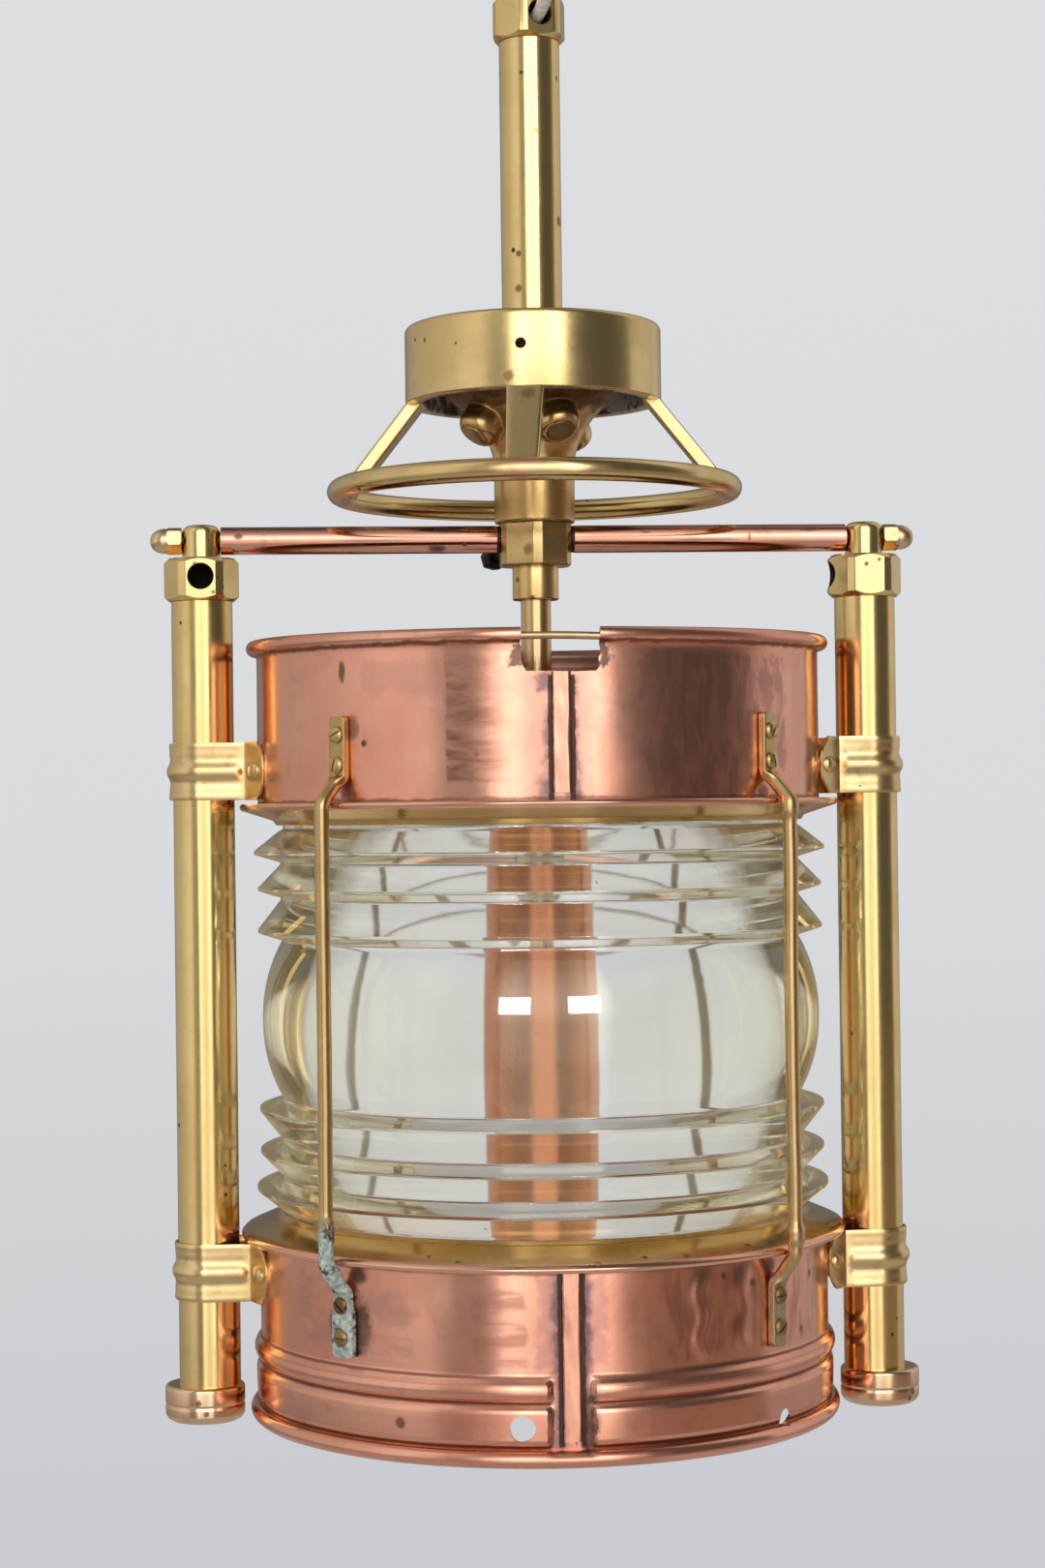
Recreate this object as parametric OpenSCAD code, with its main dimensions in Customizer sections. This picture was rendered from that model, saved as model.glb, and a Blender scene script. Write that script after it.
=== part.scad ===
// Ship's lantern of brass and copper with a ribbed drum lens, hung from a brass
// stem as a ceiling lamp.  Millimetres, +Z up.  The origin is the middle of the
// cross hole in the neck of the top fitting, where the lamp hangs.  The cross bar
// lies along X, and the seams and the notch in the drum rim face -Y.

/* [Stem and top fitting] */
// Outer diameter of the stem tube and of the two side post tubes
tube_od = 22; // [21:0.5:22.5]
// Wall of those tubes
tube_wall = 1.5; // [1:0.25:2]
// Visible length of the stem, from the hexagon to the cup
stem_len = 104; // [60:1:240]
// Hexagon of the three fittings, across flats
hex_af = 24.8; // [24:0.1:26]
// Height of that hexagon
hex_h = 15.4; // [14:0.2:20]
// Diameter of the neck above the hexagon
neck_d = 13.7; // [12:0.1:16]
// Diameter of the round hole in one flat of the hexagon
side_hole_d = 8.4; // [7:0.2:9]

/* [Hand wheel] */
// Outer diameter of the cup
cup_d = 93.2; // [84:0.2:110]
// Height of the cup
cup_h = 27.8; // [22:0.2:34]
// Centre-line radius of the wheel ring
ring_r = 71.5; // [66:0.5:90]
// Thickness of the wheel ring
ring_d = 8; // [6:0.5:10]
// Width of a spoke where it leaves the cup
spoke_w = 13.5; // [10:0.5:16]

/* [Cross bar] */
// Diameter of the two threaded rods that carry the lantern
rod_d = 6; // [5:0.5:6.5]
// Radial clearance of the posts on the rods
pivot_clear = 0.05; // [0.02:0.01:0.1]
// Distance of a side post from the axis
post_x = 121; // [120:0.5:123]
// Outer diameter of the copper spacer tubes
spacer_d = 10; // [8.6:0.2:11]

/* [Lantern] */
// Outer radius of the upper drum
drum_r = 101.7; // [101.4:0.1:102]
// Outer radius of the lower drum
base_r = 102.5; // [102.2:0.1:102.8]
// Sheet thickness of both drums
sheet = 1.1; // [0.8:0.1:1.3]
// Inner radius of the lens
lens_ri = 88; // [86:0.5:90]
// Width of the notch in the upper rim
notch_w = 26.5; // [16:0.5:34]
// Depth of that notch
notch_h = 14.7; // [6:0.1:16]
// Diameter of the round guard rods
guard_d = 5; // [4:0.25:5.5]

/* [Lamp] */
// Outer diameter of the drop tube
drop_d = 11; // [10.5:0.25:12]
// Outer diameter of the copper sleeve round the lamp holder
sleeve_d = 42; // [38:0.5:46]
// Length of that sleeve
sleeve_h = 75; // [70:1:80]
// Diameter of the glass bulb
bulb_d = 45; // [38:1:48]
// Diameter of the flex
flex_d = 5; // [4:0.1:5.2]

/* [Hidden] */
$fn = 96;

// Heights of the hanging part, from the origin down
z_neck = 5.6;
z_hex = -6.5;
z_stem = z_hex - hex_h;
z_cup = z_stem - stem_len;
z_cupb = z_cup - cup_h;
z_ring = z_cupb - 31.7;
z_hub = z_cupb - 43.75;
z_bar = z_hub - 5.5;
z_hexb = z_hub - 15.35;
z_ferr = z_hexb - 12.4;
z_lens = z_bar - 172.85;
z_sleeve = z_lens + 39.5;

tube_r = tube_od / 2;
tube_ri = tube_r - tube_wall;
rod_r = rod_d / 2;
hex_c = hex_af / sqrt(3);
wheel_turn = -8;
top_turn = 16;
clip_up = z_lens + 89.5;
clip_low = z_lens - 89.5;
clip_h = 20.5;
clip_t = 1.2;
gap = 0.35;
guard_r = 112;

// Hexagonal prism, a flat facing -Y, from z = a down to z = b
module hexbar(c, a, b) { translate([0, 0, b]) cylinder(r = c, h = a - b, $fn = 6); }

// Children drawn looking outwards at azimuth az, radius r and height z
module at(az, r, z) { rotate([0, 0, az]) translate([0, -r, z]) rotate([90, 0, 0]) children(); }

// Tube from z = a down to z = b
module pipe(ro, ri, a, b) {
    translate([0, 0, b]) difference() {
        cylinder(r = ro, h = a - b);
        translate([0, 0, -1]) cylinder(r = ri, h = a - b + 2);
    }
}

// Cast fitting: neck with a cross hole along X, hexagon with broken corners and a
// spigot for the tube.  turn is the azimuth of the round hole.
module fitting(turn) {
    difference() {
        union() {
            rotate_extrude() polygon([[0, -9], [neck_d / 2, -9], [neck_d / 2, z_neck - 2.7],
                [neck_d / 2 - 0.7, z_neck - 1.1], [neck_d / 2 - 2.4, z_neck], [0, z_neck]]);
            intersection() {
                hexbar(hex_c, z_hex, z_stem);
                rotate([0, 0, 30]) hexbar((hex_af / 2 + 1) / cos(30), z_hex + 1, z_stem - 1);
                rotate_extrude() polygon([[0, z_stem - 1], [hex_af / 2 - 1.6, z_stem - 1],
                    [hex_af / 2 + 1.6, z_stem + 2.2], [hex_af / 2 + 1.6, z_hex - 2.2],
                    [hex_af / 2 - 1.6, z_hex + 1], [0, z_hex + 1]]);
            }
            translate([0, 0, z_stem - 11]) cylinder(r = tube_ri - 0.05, h = 12);
        }
        translate([0, 0, z_stem - 12]) cylinder(r = 6.5, h = 12 + hex_h - 2.4);
        at(turn, 3, -13.5) cylinder(d = side_hole_d, h = 20);
        rotate([0, 90, 0]) cylinder(r = rod_r + pivot_clear, h = 40, center = true);
    }
}

module top_fitting() color("goldenrod") rotate([0, 0, top_turn]) fitting(0);

module stem_tube() color("goldenrod") pipe(tube_r, tube_ri, z_stem, z_cup);

module wheel_cup() color("goldenrod") rotate([0, 0, wheel_turn]) difference() {
    translate([0, 0, z_cupb]) rotate_extrude() polygon([
        [5, cup_h - 4], [5, cup_h], [cup_d / 2 - 2, cup_h], [cup_d / 2 - 0.8, cup_h - 0.5],
        [cup_d / 2 - 0.2, cup_h - 1.3], [cup_d / 2, cup_h - 2.3], [cup_d / 2, 0.5],
        [cup_d / 2 - 0.5, 0], [cup_d / 2 - 5.5, 0], [cup_d / 2 - 6, 0.5], [cup_d / 2 - 6, cup_h - 6],
        [cup_d / 2 - 8, cup_h - 4]]);
    at(-1.7, cup_d / 2 - 10, z_cup - 12.6) cylinder(d = 3.9, h = 14);
}

// One spoke, a flat tapering bar from the cup down to the ring
module spoke() {
    r0 = cup_d / 2 - 3.2;
    r1 = ring_r - 3;
    h = z_cupb - z_ring;
    a = atan2(r1 - r0, h);
    len = sqrt(h * h + (r1 - r0) * (r1 - r0));
    intersection() {
        translate([0, -r0, z_cupb]) rotate([-a, 0, 0]) translate([0, 2.6, 0]) rotate([90, 0, 0])
            linear_extrude(5.2) polygon([[-spoke_w / 2, 6], [spoke_w / 2, 6],
                [spoke_w / 2 - 1.25, -len], [-spoke_w / 2 + 1.25, -len]]);
        translate([-20, -r1 - 12, z_ring]) cube([40, 60, h]);
    }
}
module wheel_spokes() color("goldenrod") for (i = [0:3]) rotate([0, 0, wheel_turn + 90 * i])
    difference() {
        spoke();
        translate([0, 0, z_ring]) rotate_extrude() translate([ring_r, 0]) circle(d = ring_d + 0.08, $fn = 48);
    }

module wheel_ring() color("goldenrod") translate([0, 0, z_ring])
    rotate_extrude() translate([ring_r, 0]) circle(d = ring_d, $fn = 48);

// Trumpet-shaped casting under the cup with three bolt lugs
lug_az = [-62, 18, 138];
module lug_at(i) rotate([0, 0, lug_az[i]]) translate([0, -16, z_cupb - 1]) rotate([-38, 0, 0]) children();
module hub_casting() color("darkgoldenrod") difference() {
    union() {
        translate([0, 0, z_hub]) rotate_extrude() polygon([[5, 0], [14.65, 0], [14.65, 20.8],
            [15.1, 24.8], [16.4, 29.3], [18.6, 33.7], [21.6, 38.2], [24.2, 41], [28, 43.6],
            [31.5, 46.4], [33, 51], [34, 57], [34, 39.75 + cup_h], [5, 39.75 + cup_h]]);
        for (i = [0:2]) lug_at(i) translate([0, 0, -13.6]) {
            cylinder(r = 8, h = 18);
            rotate_extrude() polygon([[0, -2.2], [5.4, -2.2], [6.9, -1.6], [7.7, -0.8], [8, 0], [0, 0]]);
        }
    }
    for (i = [0:2]) lug_at(i) translate([0, 0, -17]) cylinder(r = 5, h = 6);
    translate([0, 0, z_hub - 1]) cylinder(r = 5, h = 80);
}
module hub_plugs() color("peru") for (i = [0:2]) lug_at(i) translate([0, 0, -15]) cylinder(r = 5, h = 4);

module centre_hex() color("darkgoldenrod") difference() {
    intersection() {
        rotate([0, 0, 30]) hexbar(14.7, z_hub, z_hexb);
        hexbar(13.7 / cos(30), z_hub + 1, z_hexb - 1);
    }
    translate([0, 0, z_hexb - 1]) cylinder(r = 4.5, h = 20);
    translate([0, 0, z_bar]) rotate([0, 90, 0]) cylinder(r = rod_r, h = 60, center = true);
    at(-150, 2, z_bar - 4.9) cylinder(r = 2.2, h = 20);
}

module ferrule() color("goldenrod") pipe(8.4, drop_d / 2, z_hexb, z_ferr);

module clamp_bolt() color("dimgray") at(-150, 7.5, z_bar - 4.9) {
    cylinder(r = 2.2, h = 17.5);
    translate([0, 0, 17.5]) rotate([0, 0, 12]) cylinder(r = 4.4, h = 5, $fn = 6);
}

// Each rod screws into the centre hexagon, passes a copper spacer and a post, and ends in a nut
module rod(s) color("silver") translate([s * 6, 0, z_bar]) rotate([0, s * 90, 0]) cylinder(r = rod_r, h = post_x + 12 - 6);
module pivot_rod_left() rod(-1);
module pivot_rod_right() rod(1);

module spacer(s) {
    x0 = 12.73 + 1.2;
    x1 = post_x - neck_d / 2 - gap;
    color("peru") translate([s * x0, 0, z_bar]) rotate([0, s * 90, 0]) difference() {
        cylinder(d = spacer_d, h = x1 - x0);
        translate([0, 0, -1]) cylinder(r = rod_r, h = x1 - x0 + 2);
    }
}
module spacer_tube_left() spacer(-1);
module spacer_tube_right() spacer(1);

module lock_washers() color("silver") for (s = [-1, 1])
    translate([s * 12.73, 0, z_bar]) rotate([0, s * 90, 0]) difference() {
        cylinder(r = 4.9, h = 1.2);
        translate([0, 0, -1]) cylinder(r = rod_r, h = 4);
    }

module acorn_nuts() color("gold") for (s = [-1, 1])
    translate([s * (post_x + neck_d / 2 + gap), 0, z_bar]) rotate([0, s * 90, 0]) difference() {
        union() {
            rotate([0, 0, -s * 12]) cylinder(r = 5.1, h = 5.4, $fn = 6);
            rotate_extrude() polygon([[0, 5], [4.4, 5], [4.5, 6.4], [4.3, 8], [3.7, 9.4], [2.6, 10.5], [1.3, 11.1], [0, 11.2]]);
        }
        translate([0, 0, -1]) cylinder(r = rod_r, h = 1 + 12 - neck_d / 2 - gap);
    }

module drop_tube() color("darkgoldenrod") pipe(drop_d / 2, 4, z_hexb, z_sleeve - 6);

// Copper sleeve, closed at the top, round the lamp holder
module lamp_sleeve() color("peru") translate([0, 0, z_sleeve - sleeve_h]) rotate_extrude() polygon([
    [drop_d / 2, sleeve_h], [sleeve_d / 2 - 2, sleeve_h], [sleeve_d / 2 - 0.6, sleeve_h - 0.6],
    [sleeve_d / 2, sleeve_h - 2], [sleeve_d / 2, 0], [sleeve_d / 2 - 1.2, 0],
    [sleeve_d / 2 - 1.2, sleeve_h - 2.2], [sleeve_d / 2 - 2.2, sleeve_h - 1.2], [drop_d / 2, sleeve_h - 1.2]]);

module sleeve_nut() color("goldenrod") difference() {
    hexbar(9.5, z_sleeve + 4, z_sleeve);
    translate([0, 0, z_sleeve - 1]) cylinder(d = drop_d, h = 8);
}

module lamp_holder() color("white") difference() {
    translate([0, 0, z_sleeve - 38]) rotate_extrude() polygon([[0, 36.8], [12, 36.8], [18.5, 33], [18.5, 0],
        [14.4, 0], [14.4, 24], [0, 24]]);
    translate([0, 0, z_sleeve - 7]) cylinder(d = drop_d, h = 8);
    translate([0, 0, z_sleeve - 15]) cylinder(r = 4, h = 10);
}
module holder_shell() color("gold") pipe(14.4, 13.6, z_sleeve - 15, z_sleeve - 36);

module bulb_cap() color("silver") translate([0, 0, z_sleeve - 45]) rotate_extrude() polygon([
    [0, 30], [4.5, 30], [4.9, 28.6], [11, 26], [12.6, 24], [13.2, 22], [12.7, 20.2], [13.2, 18.4], [12.7, 16.6], [13.2, 14.8],
    [12.7, 13], [13.2, 11.2], [12.7, 9.4], [13.2, 7.4], [13.2, 3], [0, 3]]);
module bulb_glass() color("whitesmoke") translate([0, 0, z_sleeve - 100]) rotate_extrude()
    intersection() {
        translate([0, -60]) square([60, 200]);
        union() {
            circle(d = bulb_d);
            polygon([[0, 0], [bulb_d / 2 - 3.4, 12], [15, 25], [13.4, 35], [13, 40], [13, 58], [0, 58]]);
        }
    }

// Flex: a route in one vertical plane, given as radius and height
flex_in = [[0, z_sleeve - 13], [0, -120], [0, -60], [0, -28], [0.5, -23.5], [2, -19.4], [4.1, -16.4], [6.4, -14.85], [9, -14.1], [12, -13.1]];
flex_out = [[12, -13.1], [15, -11.5], [18, -9], [20.2, -5.6], [21.4, -1.6], [21.8, 4], [21.8, 14], [21.6, 26], [21.4, 38], [21.4, 50], [21.4, 60]];
function tan_of(p, i) = let (a = p[max(0, i - 1)], b = p[min(len(p) - 1, i + 1)], d = b - a) d / norm(d);
module flex(p, r, n) {
    m = len(p);
    // The two routes share the slope of their common end
    t = [for (i = [0:m - 1]) (p[i][0] == 12) ? [0.88, 0.475] : tan_of(p, i)];
    pts = [for (i = [0:m - 1]) for (k = [0:n - 1]) let (c = cos(360 * k / n), s = sin(360 * k / n))
        [r * s, -(p[i][0] - r * c * t[i][1]), p[i][1] + r * c * t[i][0]]];
    polyhedron(points = pts, faces = concat(
        [[for (k = [0:n - 1]) k]],
        [[for (k = [n - 1:-1:0]) (m - 1) * n + k]],
        [for (i = [0:m - 2]) for (k = [0:n - 1]) [i * n + k, (i + 1) * n + k, i * n + (k + 1) % n]],
        [for (i = [0:m - 2]) for (k = [0:n - 1]) [i * n + (k + 1) % n, (i + 1) * n + k, (i + 1) * n + (k + 1) % n]]));
}
module inner_flex() color("gainsboro") rotate([0, 0, top_turn]) flex(flex_in, flex_d / 2, 10);
module flex_tail() color("gainsboro") rotate([0, 0, top_turn]) flex(flex_out, flex_d / 2, 10);

// Two-way terminal block on the end of the flex
module terminal_block() color("ivory") rotate([0, 0, top_turn]) translate([0, -21.4, 60]) difference() {
    union() {
        for (s = [-1, 1]) translate([s * 4.3, 0, 0]) {
            cylinder(r = 3.9, h = 18, $fn = 48);
            translate([0, 0, 0]) rotate([90, 0, 0]) translate([0, 9, 0]) { translate([0, -4.4, 0]) cylinder(r = 2.6, h = 7, $fn = 32); translate([0, 4.4, 0]) cylinder(r = 2.6, h = 7, $fn = 32); }
        }
        translate([-4.3, -2.2, 0]) cube([8.6, 4.4, 18]);
    }
    for (s = [-1, 1]) for (h = [4.6, 13.4]) translate([s * 4.3, -3, h]) rotate([90, 0, 0]) cylinder(r = 1.7, h = 6, $fn = 32);
    for (s = [-1, 1]) translate([s * 4.3, 0, 9]) cylinder(r = 1.6, h = 12, $fn = 32);
}
module terminal_screws() color("silver") rotate([0, 0, top_turn]) translate([0, -21.4, 60])
    for (s = [-1, 1]) for (h = [4.6, 13.4]) translate([s * 4.3, -3, h]) rotate([90, 0, 0]) difference() {
        cylinder(r = 1.7, h = 2.6, $fn = 32);
        translate([-2, -0.25, 1.8]) cube([4, 0.5, 2]);
    }

// Side posts
module post_fitting_left() color("goldenrod") translate([-post_x, 0, z_bar]) fitting(0);
module post_fitting_right() color("goldenrod") translate([post_x, 0, z_bar]) fitting(-90);
z_post = z_bar + z_stem;
z_posb = z_lens - 131.8;
module post_tube(s) color("goldenrod") translate([s * post_x, 0, 0]) pipe(tube_r, tube_ri, z_post, z_posb - 9);
module post_tube_left() post_tube(-1);
module post_tube_right() post_tube(1);
// The cap's body sits 1.9 mm outwards of the tube
module post_cap(s) color("rosybrown") translate([s * post_x, 0, z_posb - 11.5]) difference() {
    translate([s * 1.9, 0, 0]) rotate_extrude() polygon([[0, 0], [10.8, 0], [12.6, 0.5], [13.6, 1.6],
        [14.1, 3.2], [14.3, 5.6], [14.05, 6.2], [14.3, 6.8], [14.3, 11.6], [14, 12.5], [13.4, 13], [0, 13]]);
    translate([0, 0, 2.5]) cylinder(r = tube_r, h = 12);
}
module post_cap_left() post_cap(-1);
module post_cap_right() post_cap(1);

// Saddle clip: a band round the post, two legs, and two ears bent to the drum.
// Points of the front ear in plan, for the right (s = 1) and the left clip (drawn
// mirrored): xj is the bend, the ear ends on the drum at angle wa from the X axis.
function xj(s) = post_x - (s > 0 ? 12.4 : 15.2);
function wa(s) = s > 0 ? 11.2 : 14.1;
function ear0(s) = [xj(s), -tube_r - clip_t];
function ear1(r, s) = (r + 0.9) * [cos(wa(s)), -sin(wa(s))];
function ear_len(r, s) = norm(ear1(r, s) - ear0(s));
function ear_az(r, s) = let (d = ear0(s) - ear1(r, s)) atan2(d[1], d[0]);
function ear_dir(r, s) = [-cos(ear_az(r, s)), -sin(ear_az(r, s))];
function ear_in(r, s) = [-sin(ear_az(r, s)), cos(ear_az(r, s))];
function riv_in(s) = s > 0 ? 8.4 : 4.7;

module u_plan(t0, t1, x1) difference() {
    union() {
        circle(r = tube_r + t1);
        translate([-x1, -tube_r - t1]) square([x1, 2 * (tube_r + t1)]);
    }
    circle(r = tube_r + t0);
    translate([-x1 - 1, -tube_r - t0]) square([x1 + 1, 2 * (tube_r + t0)]);
}
// Local frame on the outer face of an ear, k along it from the bend, +Z outwards
module on_ear(r, s, k) {
    c = ear0(s) + k * ear_dir(r, s);
    translate([c[0], c[1], 0]) rotate([0, 0, ear_az(r, s)]) rotate([90, 0, 0]) children();
}
module ear(r, s) {
    p0 = ear0(s);
    p1 = ear1(r, s);
    n = ear_in(r, s);
    difference() {
        intersection() {
            translate([0, 0, -clip_h / 2]) linear_extrude(clip_h) polygon([p0, p1, p1 + clip_t * n,
                [p0[0] - clip_t * tan(ear_az(r, s) / 2), p0[1] + clip_t], [p0[0], p0[1] + clip_t]]);
            on_ear(r, s, ear_len(r, s) - 12.7) cylinder(r = 12.7, h = 10, center = true);
        }
        translate([0, 0, -20]) cylinder(r = r, h = 40, $fn = 180);
    }
}
module clip(r, s) color("darkgoldenrod") difference() {
    union() {
        translate([post_x, 0, -clip_h / 2]) linear_extrude(clip_h) u_plan(0, clip_t, post_x - xj(s));
        translate([post_x, 0, -2]) linear_extrude(4) u_plan(0.5, clip_t + 1, post_x - xj(s) - 2);
        for (m = [0, 1]) mirror([0, m, 0]) ear(r, s);
    }
    for (m = [0, 1]) mirror([0, m, 0]) on_ear(r, s, 0.55 * ear_len(r, s)) translate([0, 0, -3]) cylinder(r = 1.6, h = 6, $fn = 32);
}
module clip_upper_right() translate([0, 0, clip_up]) clip(drum_r, 1);
module clip_upper_left() translate([0, 0, clip_up]) mirror([1, 0, 0]) clip(drum_r, -1);
module clip_lower_right() translate([0, 0, clip_low]) clip(base_r, 1);
module clip_lower_left() translate([0, 0, clip_low]) mirror([1, 0, 0]) clip(base_r, -1);

// Four places of the rivets on a drum of radius r
module rivet_places(r, z, s) translate([0, 0, z]) mirror([s > 0 ? 0 : 1, 0, 0])
    for (m = [0, 1]) mirror([0, m, 0]) on_ear(r, s, 0.55 * ear_len(r, s)) children();
module rivet(s) {
    // Head on the ear, shank, and a flat head inside the drum
    translate([0, 0, -riv_in(s) - 1]) cylinder(r = 2.3, h = 1.05, $fn = 32);
    translate([0, 0, -riv_in(s)]) cylinder(r = 1.6, h = riv_in(s) + 0.2, $fn = 32);
    rotate_extrude($fn = 32) polygon([[0, 0], [3, 0], [2.7, 0.8], [1.9, 1.4], [0, 1.7]]);
}
module clip_rivets() color("goldenrod") for (s = [-1, 1]) {
    rivet_places(drum_r, clip_up, s) rivet(s);
    rivet_places(base_r, clip_low, s) rivet(s);
}
module rivet_holes(r, z) for (s = [-1, 1]) rivet_places(r, z, s)
    translate([0, 0, -riv_in(s) - 1.5]) cylinder(r = 1.6, h = riv_in(s) + 1.5, $fn = 32);

// Screw places of the guard rods on a drum wall of radius r
guard_az = [-45, 45, 135, -135];
up_scr = [100.4, 90.2];
low_scr = [-91.6, -102.4];
module screw_holes(r, zs) for (a = guard_az) for (z = zs) at(a, r - 5, z_lens + z) cylinder(r = 1.5, h = 10, $fn = 32);

module upper_drum() color("peru") difference() {
    union() {
        translate([0, 0, z_lens]) rotate_extrude($fn = 180) polygon([[drum_r - sheet, 77.6], [drum_r, 77.6],
            [drum_r, 129.8], [drum_r + 0.6, 131.6], [drum_r + 0.6, 133], [drum_r - sheet, 133]]);
        translate([0, 0, z_lens + 132.2]) rotate_extrude($fn = 180) translate([drum_r + 1.2, 0]) circle(r = 2.5, $fn = 32);
    }
    translate([-notch_w / 2, -drum_r - 10, z_lens + 134.7 - notch_h]) cube([notch_w, 30, 30]);
    for (s = [-1, 1]) translate([s * notch_w / 2, -drum_r - 0.6, z_lens + 131.8]) rotate([0, s * 90, 0]) translate([0, 0, -1]) cylinder(r = 1.35, h = 6, $fn = 32);
    rivet_holes(drum_r, clip_up);
    screw_holes(drum_r, up_scr);
}

// Old hinge wire that bridges the notch, its ends held in the rolled rim
module hinge_wire() color("goldenrod") translate([-notch_w / 2 - 5, -drum_r - 0.6, z_lens + 131.8]) rotate([0, 90, 0]) cylinder(r = 1.35, h = notch_w + 10, $fn = 32);

module strip(r, w, a, b) intersection() {
    translate([0, 0, b]) difference() {
        cylinder(r = r + 0.9, h = a - b, $fn = 180);
        translate([0, 0, -1]) cylinder(r = r, h = a - b + 2, $fn = 180);
    }
    translate([-w / 2, -r - 5, b - 1]) cube([w, 20, a - b + 2]);
}
module upper_seam_strip() color("peru") strip(drum_r, 6.4, z_lens + 134.7 - notch_h, z_lens + 80);
module lower_seam_strip() color("peru") rotate([0, 0, 0.4]) strip(base_r, 6.4, z_lens - 77.7, z_lens - 133.4);

// Profiles of the two lens flanges, radius and height above the lens centre
module upper_flange() color("gold") translate([0, 0, z_lens]) rotate_extrude($fn = 180) polygon([
    [86.5, 75], [drum_r - sheet - 1.7, 76.9], [drum_r - sheet - 1.7, 85.5], [drum_r - sheet, 85.5], [drum_r - sheet, 77.6],
    [107.6, 77.6], [108.3, 76.8], [108, 75.5], [96.2, 71.6], [95.2, 69.9], [93.4, 69.9], [93.4, 73.5], [86.5, 73.5]]);
module lower_flange() color("gold") translate([0, 0, z_lens]) rotate_extrude($fn = 180) polygon([
    [86.5, -75], [86.5, -73.5], [93.4, -73.5], [93.4, -68.5], [95.2, -68.5], [96.4, -69.9], [108.2, -74.9], [109.2, -76],
    [108.6, -77.5], [base_r - sheet, -77.5], [base_r - sheet, -85.5], [base_r - sheet - 1.7, -85.5], [base_r - sheet - 1.7, -76.9]]);
module upper_gasket() color("tan") pipe(93, lens_ri - 0.5, z_lens + 73.5, z_lens + 72.3);
module lower_gasket() color("tan") pipe(93, lens_ri - 0.5, z_lens - 72.3, z_lens - 73.5);

// Lens: one pressed glass ring, a bull's-eye belt between three prisms above and below
function mir(p) = [for (i = [len(p) - 1:-1:0]) [p[i][0], -p[i][1]]];
bull = [for (i = [0:7]) [100.7 - 7 * pow(i / 7, 2.2), 28 * i / 7]];
prisms = [[93.9, 28.6], [102, 31.6], [102, 32.6], [94, 42.9], [93.9, 43.6], [101.9, 46.6], [101.9, 47.6],
    [94, 55.7], [93.9, 56.4], [103.2, 59.6], [103.2, 60.8], [94.6, 67.6], [92.8, 68.4], [92.8, 72.3]];
half_lens = concat(bull, prisms);
module lens() color("lightyellow", 0.5) translate([0, 0, z_lens]) rotate_extrude($fn = 180)
    polygon(concat([[lens_ri, -72.3]], mir(half_lens), half_lens, [[lens_ri, 72.3]]));

// Lower drum: a swaged bead, a step and a rolled rim, open below.  The bead and the
// step stop beside the seam.
low_wall = [[0, -77.5], [0, -112.2], [0.7, -113.2], [1.9, -114.6], [2.4, -116.8], [1.9, -119], [0.8, -120.4],
    [0.4, -121.2], [0.8, -122], [1.7, -123.2], [1.8, -125], [1.6, -133], [0.9, -134.8], [0.4, -135.6], [0.4, -139]];
module wall_plan(t, p) rotate_extrude($fn = 180) polygon(concat([for (q = p) [base_r + q[0], q[1]]],
    [for (i = [len(p) - 1:-1:0]) [base_r - t + p[i][0], p[i][1]]]));
module lower_drum() color("peru") difference() {
    union() {
        difference() {
            translate([0, 0, z_lens]) wall_plan(sheet, low_wall);
            translate([-7, -base_r - 10, z_lens - 137]) cube([14, 20, 26]);
        }
        intersection() {
            translate([0, 0, z_lens]) wall_plan(sheet, [[0, -110.5], [0, -137.5]]);
            translate([-7.1, -base_r - 10, z_lens - 140]) cube([14.2, 20, 40]);
        }
        translate([0, 0, z_lens - 139]) rotate_extrude($fn = 180) translate([base_r + 1.1, 0]) circle(r = 2.9, $fn = 32);
    }
    at(-8.7, base_r - 8, z_lens - 128.9) cylinder(d = 8.5, h = 16);
    at(48, base_r - 8, z_lens - 133) cylinder(d = 5.4, h = 16);
    rivet_holes(base_r, clip_low);
    screw_holes(base_r, low_scr);
}

// Guard rod: a flat lug on each drum, a jog over the flange and the straight rod
module seg(a, b, r, e) {
    d = b - a;
    l = norm(d);
    translate(a) rotate([0, acos(d[2] / l), atan2(d[1], d[0])]) translate([0, 0, -e]) cylinder(r = r, h = l + 2 * e, $fn = 32);
}
module lug(r, z0, z1) translate([-3.6, -r - 3.05, z_lens + z0]) cube([7.2, 3, z1 - z0]);
module guard(a) {
    g = guard_d / 2;
    top = [0, -drum_r - 3, z_lens + 84.6];
    bend = [0, -guard_r, z_lens + 77.6];
    bend2 = [0, -guard_r, z_lens - 77.7];
    low = [0, -base_r - 3, z_lens - 86.8];
    color("darkgoldenrod") rotate([0, 0, a]) difference() {
        union() {
            seg(bend2, bend, g, 0.7);
            seg(top, bend, g - 0.1, 0.2);
            seg(low, bend2, g - 0.1, 0.2);
            lug(drum_r, 84.2, 106.8);
            lug(base_r, -109, -86);
        }
        for (z = up_scr) translate([0, -drum_r + 5, z_lens + z]) rotate([90, 0, 0]) cylinder(r = 1.5, h = 16, $fn = 32);
        for (z = low_scr) translate([0, -base_r + 5, z_lens + z]) rotate([90, 0, 0]) cylinder(r = 1.5, h = 16, $fn = 32);
    }
}
module guard_front_left() guard(-45);
module guard_front_right() guard(45);
module guard_rear_left() guard(-135);
module guard_rear_right() guard(135);

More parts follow.
